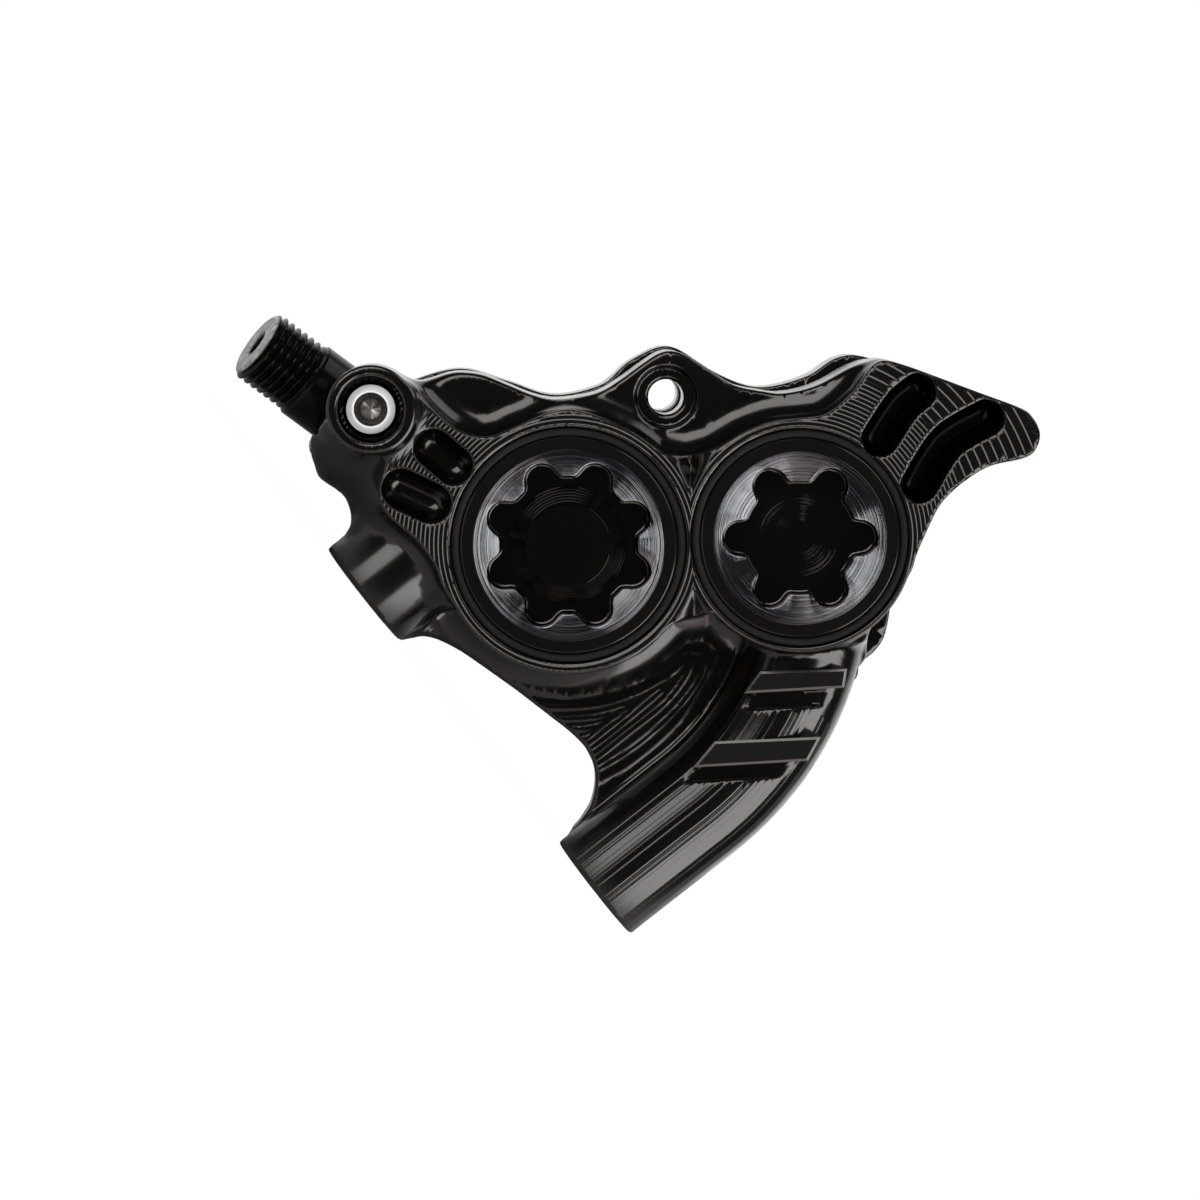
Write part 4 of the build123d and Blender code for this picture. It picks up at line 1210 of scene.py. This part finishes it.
@dataclass(frozen=True)
class Anodised:
    """Gloss black anodising over machined aluminium."""

    colour: Colour = (0.0016, 0.0015, 0.0015, 1.0)
    roughness: float = 0.17
    specular: float = 0.92
    tint: Colour = (1.0, 0.95, 0.94, 1.0)
    lift: float = 0.9
    mark_way: float = math.radians(160.0)
    marked_depths: tuple[float, float] = (16.4, 19.4)
    fin_start: float = 14.5
    fine_marks: tuple[float, float, float] = (0.4, 2.0, 0.42)
    coarse_marks: tuple[float, float, float] = (0.82, 6.0, 0.5)
    recess_half: float = 2.85
    recess_depth: float = 15.45
    boss_radius: float = 4.4
    cap_floor: float = 18.5
    bare_face: Colour = (0.34, 0.34, 0.36, 1.0)
    # Colour that the hose union's end turns to, in patches.
    pale_end: Colour = (0.8, 0.78, 0.76, 1.0)

    def shell(self, name: str) -> tuple[bpy.types.Material, Graph, bpy.types.Node]:
        """Start a material that has the anodised colour."""
        material, graph, shader = start_material(name)
        feed(graph, shader, {"Base Color": self.colour, "Specular IOR Level": self.specular,
                             "Specular Tint": self.tint, "IOR": 1.5})
        return material, graph, shader

    def milled(self) -> bpy.types.Material:
        """Finish the body: cutter marks round the bores and on the fin, drawn lines on the leg.

        Returns:
            The material.
        """
        material, graph, shader = self.shell("anodised_body")
        x, y, z = graph.place()
        low, high = self.marked_depths
        top = graph.facing().rise(0.78, 0.88) * (y < DISC_Y - low) * (y > DISC_Y - high)
        way = graph.join(math.cos(self.mark_way), 0.0, math.sin(self.mark_way))
        marks = graph.scaled(way, self.cutter_marks(graph, x, z) * top)
        away = graph.join(x - (FEET_X[1] - LEG_BEND), 0.0, (z - LEG_STRAIGHT).most(0.0))
        far = graph.length(away)
        leg = (x > 10.5) * (y < 6.0) * (z < 26.0)
        recess = leg * (abs(far - LEG_BEND) < self.recess_half) * (y > DISC_Y - self.recess_depth)
        drawn = (graph.line_noise(far, 3.4, 6.0) - 0.5) * 0.9 * leg * (1.0 - recess)
        slope = graph.vector(Operation.ADD, marks, graph.scaled(graph.unit(away), drawn))
        tilted = graph.vector(Operation.ADD, graph.normal(), slope)
        facets = graph.node("ShaderNodeMix", {"data_type": "VECTOR"},
                            {0: recess, 4: tilted, 5: (0.0, -1.0, 0.0)}, 1)
        patches = graph.noise(graph.spot(), 0.5, 3.0)
        feed(graph, shader, {"Normal": graph.unit(facets),
                             "Roughness": patches * 0.06 + (self.roughness - 0.03) + top * 0.04})
        return material

    def cutter_marks(self, graph: Graph, x: Signal, z: Signal) -> Signal:
        """Work out the slope of the cutter marks: fine round the bores, coarse on the fin.

        Args:
            graph: the body's graph.
            x: X of the surface.
            z: Z of the surface.

        Returns:
            The slope.
        """
        far_large = graph.length(graph.away(x, z, LARGE_BORE))
        far_small = graph.length(graph.away(x, z, SMALL_BORE))
        near_small = (far_small - SMALL_RING) < (far_large - LARGE_RING)
        fin = (far_small - self.fin_start).rise(0.0, 1.5) * near_small
        radius = graph.mixed(far_large, far_small, near_small)
        fine, coarse = [(radius * (2 * math.pi / pitch)).sine().most(0.0) ** sharpness * slope
                        for pitch, sharpness, slope in (self.fine_marks, self.coarse_marks)]
        return graph.mixed(fine, coarse, fin)

    def swirled(self, graph: Graph, out: Signal, lead: float) -> Signal:
        """Turn a direction away from an axis by the lead of the tool marks, in degrees."""
        turn = math.radians(lead)
        out_x, out_z = graph.part(out, 0), graph.part(out, 2)
        return graph.join(out_x * math.cos(turn) + out_z * math.sin(turn), 0.0,
                          out_z * math.cos(turn) - out_x * math.sin(turn))

    def turned_cap(self, name: str, centre: Place, rim: float, lead: float) -> bpy.types.Material:
        """Finish a cap: fine turned lines on its faces, satin on its rim.

        Args:
            name: the material's name.
            centre: the axis of the cap.
            rim: the radius where the satin rim starts.
            lead: how far their slope is turned from the radius, in degrees.

        Returns:
            The material.
        """
        material, graph, shader = self.shell(name)
        x, y, z = graph.place()
        away = graph.away(x, z, centre)
        far, facing = graph.length(away), graph.facing().rise(0.6, 0.85)
        flat = facing * (far < rim) * (far > self.boss_radius) * (y < DISC_Y - self.cap_floor)
        floor = facing * (y > DISC_Y - self.cap_floor)
        wave = (graph.line_noise(far, 26.0, 2.0) - 0.5) * 3.0
        slope = wave * (flat + floor * 0.14) * self.lift
        way = self.swirled(graph, graph.unit(away), lead)
        tilted = graph.vector(Operation.ADD, graph.normal(), graph.scaled(way, slope))
        satin = (far > rim) * (y < DISC_Y - 18.0)
        pale_share = flat * (graph.noise(graph.spot(), 0.35) * 0.5 + 0.5)
        feed(graph, shader, {"Normal": graph.unit(tilted), "Metallic": flat,
                             "Base Color": graph.shades(self.colour, self.bare_face, pale_share),
                             "Roughness": satin * 0.12 + flat * 0.06 + 0.08})
        return material

    def plain(self, name: str, specular: float, level: float) -> bpy.types.Material:
        """Finish a small piece with soft patches and a lighter copy of the anodised colour, which is painted
        light on its faces.

        Args:
            name: the material's name.
            specular: how strongly it reflects.
            level: how light its colour is, where 1 is the body's own; above 1 the extra lightness is painted
                light.

        Returns:
            The material.
        """
        material, graph, shader = self.shell(name)
        patches = graph.noise(graph.spot(), 2.0, 4.0)
        # Painted light: the anodised colour made lighter by level, so the piece looks more lit than the body
        # under the same lamps.
        light = tuple(part * level for part in self.colour[:3]) + (1.0,)
        feed(graph, shader, {"Roughness": patches * 0.12 + 0.1, "Specular IOR Level": specular,
                             "Base Color": light})
        return material

    def stub(self, name: str, axis: Axis, end: float) -> bpy.types.Material:
        """Finish the hose union: near black, turning pale in patches at its end.

        Args:
            name: the material's name.
            axis: the axis of the union.
            end: where its pale end starts, along the axis.

        Returns:
            The material.
        """
        material, graph, shader = self.shell(name)
        away = graph.vector(Operation.SUBTRACT, graph.spot(), tuple(axis.origin))
        along = graph.node("ShaderNodeVectorMath", {"operation": Operation.DOT_PRODUCT.name},
                           {0: away, 1: tuple(axis.along)}, "Value")
        # The colour turns pale in noisy patches past the given end.
        pale_share = along.rise(end, end + 0.25) * graph.noise(graph.spot(), 1.5, 3.0)
        feed(graph, shader, {"Base Color": graph.shades(self.colour, self.pale_end, pale_share),
                             "Roughness": pale_share * 0.3 + 0.22, "Specular IOR Level": 0.25})
        return material


@dataclass(frozen=True)
class Metal:
    """A bare metal with fine marks."""

    name: str
    colour: Colour
    dark: Colour
    roughness: float
    mark_scale: float = 3.0
    mark_height: float = 0.02

    def material(self) -> bpy.types.Material:
        """Finish: marks in roughness, colour and bump."""
        material, graph, shader = start_material(self.name)
        marks = graph.noise(graph.spot(), self.mark_scale, 5.0)
        feed(graph, shader, {"Base Color": graph.shades(self.dark, self.colour, marks), "Metallic": 1.0,
                             "Roughness": marks * 0.12 + (self.roughness - 0.06),
                             "Normal": graph.bump(marks, 0.15, self.mark_height)})
        return material


@dataclass(frozen=True)
class TurnedScrew:
    """Bright stainless steel: a satin ring round a polished socket."""

    name: str = "turned_stainless"
    bright: Colour = (0.93, 0.92, 0.9, 1.0)
    polished: Colour = (0.6, 0.57, 0.55, 1.0)
    ring_inner: float = 1.52

    def material(self) -> bpy.types.Material:
        """Finish: the ring and its chamfer satin, all else polished."""
        material, graph, shader = start_material(self.name)
        x, y, z = graph.place()
        far = graph.length(graph.away(x, z, BLEED_BOSS))
        ring = (far > self.ring_inner) * (y < DISC_Y - 18.5)
        marks = graph.noise(graph.spot(), 5.0, 4.0)
        feed(graph, shader, {"Base Color": graph.shades(self.polished, self.bright, ring),
                             "Metallic": 1.0 - ring * 0.75,
                             "Roughness": marks * 0.12 + ring * 0.3 + 0.12})
        return material


@dataclass(frozen=True)
class Matt:
    """Rubber or friction material: rough, with a grain."""

    name: str
    colour: Colour
    grain: Colour
    roughness: float
    scale: float
    height: float

    def material(self) -> bpy.types.Material:
        """Finish: grain in colour and bump."""
        material, graph, shader = start_material(self.name)
        share = graph.noise(graph.spot(), self.scale, 4.0).rise(0.42, 0.62)
        feed(graph, shader, {"Base Color": graph.shades(self.colour, self.grain, share),
                             "Specular IOR Level": 0.25, "Roughness": share * 0.15 + self.roughness,
                             "Normal": graph.bump(share, 0.5, self.height)})
        return material


# The studio

@dataclass(frozen=True)
class Softbox:
    """A soft lamp that looks at the part.

    Its azimuth runs from -Y towards +X and its elevation up from the floor, both in degrees. Its
    distance and size are in millimetres, and a radiance of 1 makes its face white.
    """

    name: str
    azimuth: float
    elevation: float
    distance: float
    size: tuple[float, float]
    radiance: float
    colour: tuple[float, float, float] = (1.0, 1.0, 1.0)

    def hang(self) -> None:
        """Hang the lamp in its place, turned to the part."""
        width, height = self.size
        data = bpy.data.lights.new(self.name + "_softbox", "AREA")
        data.shape, data.size, data.size_y = "RECTANGLE", width * MM, height * MM
        data.energy, data.color = self.radiance * math.pi * width * height * MM * MM, self.colour
        lamp = bpy.data.objects.new(self.name + "_softbox", data)
        bpy.context.scene.collection.objects.link(lamp)
        turn, lift = math.radians(self.azimuth), math.radians(self.elevation)
        towards = Vector((math.sin(turn) * math.cos(lift), -math.cos(turn) * math.cos(lift), math.sin(lift)))
        lamp.location = towards * self.distance * MM + Vector((0, 0, 0.02))
        lamp.rotation_mode = "QUATERNION"
        lamp.rotation_quaternion = (-towards).to_track_quat("-Z", "Y")


@dataclass
class Studio:
    """Camera, lamps, floor and world."""

    lens: float = 199.0
    distance: float = 600.0
    roll: float = 51.9
    above: float = 2.8
    beside: float = -1.0
    aim: Place = (0.602, 0.595)
    aim_depth: float = 14.0
    floor_radius: float = 0.17
    floor_back: float = 0.142
    floor_drop: float = 0.00005
    floor_glow: float = 0.93
    lamps: tuple[Softbox, ...] = (
        Softbox("left", -38.0, 12.0, 500.0, (280.0, 420.0), 2.45),
        Softbox("right", 57.0, 12.0, 450.0, (420.0, 420.0), 3.2),
        Softbox("top", 0.0, 88.0, 500.0, (400.0, 400.0), 1.2),
        Softbox("low", 38.0, -27.0, 500.0, (340.0, 170.0), 1.5, (1.0, 0.86, 0.83)))

    def build(self) -> None:
        """Make everything that stands round the part."""
        self.camera()
        for lamp in self.lamps:
            lamp.hang()
        self.floor()
        self.world()
        bpy.context.scene.view_settings.view_transform = "Standard"

    def camera(self) -> None:
        """Place the camera at the photograph's angle."""
        turn = math.radians(self.roll)
        right = Vector((math.cos(turn), 0, math.sin(turn)))
        up = Vector((-math.sin(turn), 0, math.cos(turn)))
        target = SIDE.place(self.aim)
        aim = Vector((target[0], DISC_Y - self.aim_depth, target[1]))
        back = (Vector((0, -1, 0)) + up * math.tan(math.radians(self.above))
                + right * math.tan(math.radians(self.beside))).normalized()
        side = up.cross(back).normalized()
        top = back.cross(side)
        data = bpy.data.cameras.new("camera")
        data.lens, data.sensor_width = self.lens, 36.0
        data.clip_start, data.clip_end = 0.01, 10.0
        camera = bpy.data.objects.new("camera", data)
        bpy.context.scene.collection.objects.link(camera)
        place = (aim + back * self.distance) * MM
        camera.matrix_world = Matrix.Translation(place) @ Matrix((side, top, back)).transposed().to_4x4()
        bpy.context.scene.camera = camera

    def floor(self) -> None:
        """Lay the pale round floor under the feet, white to the camera but for the part's shadow."""
        turns = np.linspace(0, 2 * math.pi, 96, endpoint=False)
        places = np.stack([np.cos(turns) * self.floor_radius,
                           np.sin(turns) * self.floor_radius + self.floor_back,
                           np.full(len(turns), -self.floor_drop)], 1)
        piece = make_mesh("floor", places, [tuple(range(len(turns)))])
        material, graph, shader = start_material("floor")
        feed(graph, shader, {"Base Color": (0.45, 0.45, 0.45, 1.0), "Roughness": 0.9,
                             "Specular IOR Level": 0.0})
        seen = graph.node("ShaderNodeLightPath", {}, {}, "Is Camera Ray")
        glow = graph.node("ShaderNodeEmission", {}, {"Color": (1.0, 1.0, 1.0, 1.0), "Strength": 1.05})
        plain = Signal(graph, shader.outputs[0])
        both = graph.node("ShaderNodeMixShader", {}, {0: seen * self.floor_glow, 1: plain, 2: glow})
        feed(graph, material.node_tree.nodes["Material Output"], {"Surface": both})
        piece.data.materials.append(material)

    def world(self) -> None:
        """Make the world white to the camera, white behind the part and dark behind the camera."""
        world = bpy.data.worlds.new("world")
        world.use_nodes = True
        graph = Graph(world.node_tree)
        towards = graph.part(graph.node("ShaderNodeTexCoord", {}, {}, "Generated"), 1)
        backdrop = towards.rise(0.4, 0.75) * 0.98 + 0.02
        glossy = graph.node("ShaderNodeLightPath", {}, {}, "Is Glossy Ray")
        plain = graph.node("ShaderNodeLightPath", {}, {}, "Is Diffuse Ray") * -0.4 + 1.0
        level = graph.mixed(plain, backdrop, glossy)
        feed(graph, world.node_tree.nodes["Background"], {"Color": graph.join(level, level, level)})
        bpy.context.scene.world = world


def dress(piece: bpy.types.Object, material: bpy.types.Material) -> None:
    """Give a piece its material."""
    piece.data.materials.clear()
    piece.data.materials.append(material)


def dress_nodes() -> None:
    """Give every carried-over node the material that the end of its name calls for."""
    stainless = Metal("stainless", (0.72, 0.70, 0.68, 1.0), (0.55, 0.53, 0.51, 1.0), 0.2)
    plated = Metal("plated_steel", (0.42, 0.41, 0.40, 1.0), (0.3, 0.29, 0.28, 1.0), 0.35)
    ground = Metal("ground_piston", (0.6, 0.6, 0.61, 1.0), (0.5, 0.5, 0.51, 1.0), 0.22)
    copper = Metal("copper", (0.72, 0.38, 0.24, 1.0), (0.5, 0.25, 0.15, 1.0), 0.3)
    rubber = Matt("rubber", (0.005, 0.005, 0.005, 1.0), (0.009, 0.009, 0.009, 1.0), 0.62, 6.0, 0.01)
    friction = Matt("friction", (0.10, 0.085, 0.075, 1.0), (0.24, 0.17, 0.11, 1.0), 0.75, 2.5, 0.08)
    finishes = {stainless: ("plug",), plated: ("plate", "spring"), ground: ("piston",), copper: ("washer",),
                rubber: ("oring", "seal", "wiper"), friction: ("lining",)}
    pieces = [piece for piece in bpy.context.scene.objects if piece.type == "MESH"]
    for finish, words in finishes.items():
        material = finish.material()
        for piece in sorted(pieces, key=lambda piece: piece.name):
            if piece.name.endswith(words):
                dress(piece, material)


def main() -> None:
    """Build the studio and every piece of the caliper."""
    logging.basicConfig(level=logging.INFO, format="%(message)s", stream=sys.stdout, force=True)
    Studio().build()
    anodised, hose = Anodised(), HoseUnion()
    block = MachinedBlock(step=0.18)
    body, ribs = block.build(), block.ribs()
    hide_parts("caliper_body")
    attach(body, "body")
    large = BossedCap("large_bore_cap", LARGE_BORE, LARGE_CAP, DrivingSocket(6.2, 1.6, 6.2, 8, 15.5)).build()
    small = DishedCap("small_bore_cap", SMALL_BORE, SMALL_CAP, DrivingSocket(5.1, 1.62, 5.36, 6, 8.0)).build()
    stub, screw = hose.build(), BleedScrew().build()
    PadSpring().build()
    dress(body, anodised.milled())
    dress(large, anodised.turned_cap("turned_large_cap", LARGE_BORE, 8.6, 50.0))
    dress(small, anodised.turned_cap("turned_small_cap", SMALL_BORE, 7.8, 18.0))
    dress(stub, anodised.stub("anodised_union", Axis.of_union(), hose.end - 0.3))
    dress(screw, TurnedScrew().material())
    dress_nodes()
    for rib in ribs:
        # The ribs get their anodising 4.5 times lighter than the body's: painted light on their faces.
        dress(rib, anodised.plain("anodised_" + rib.name, 1.0, 4.5))
        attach(rib, "body")
    for piece in (body, *ribs, large, small, stub, screw):
        log.info("%s: %d faces", piece.name, len(piece.data.polygons))


if __name__ == "__main__":
    main()
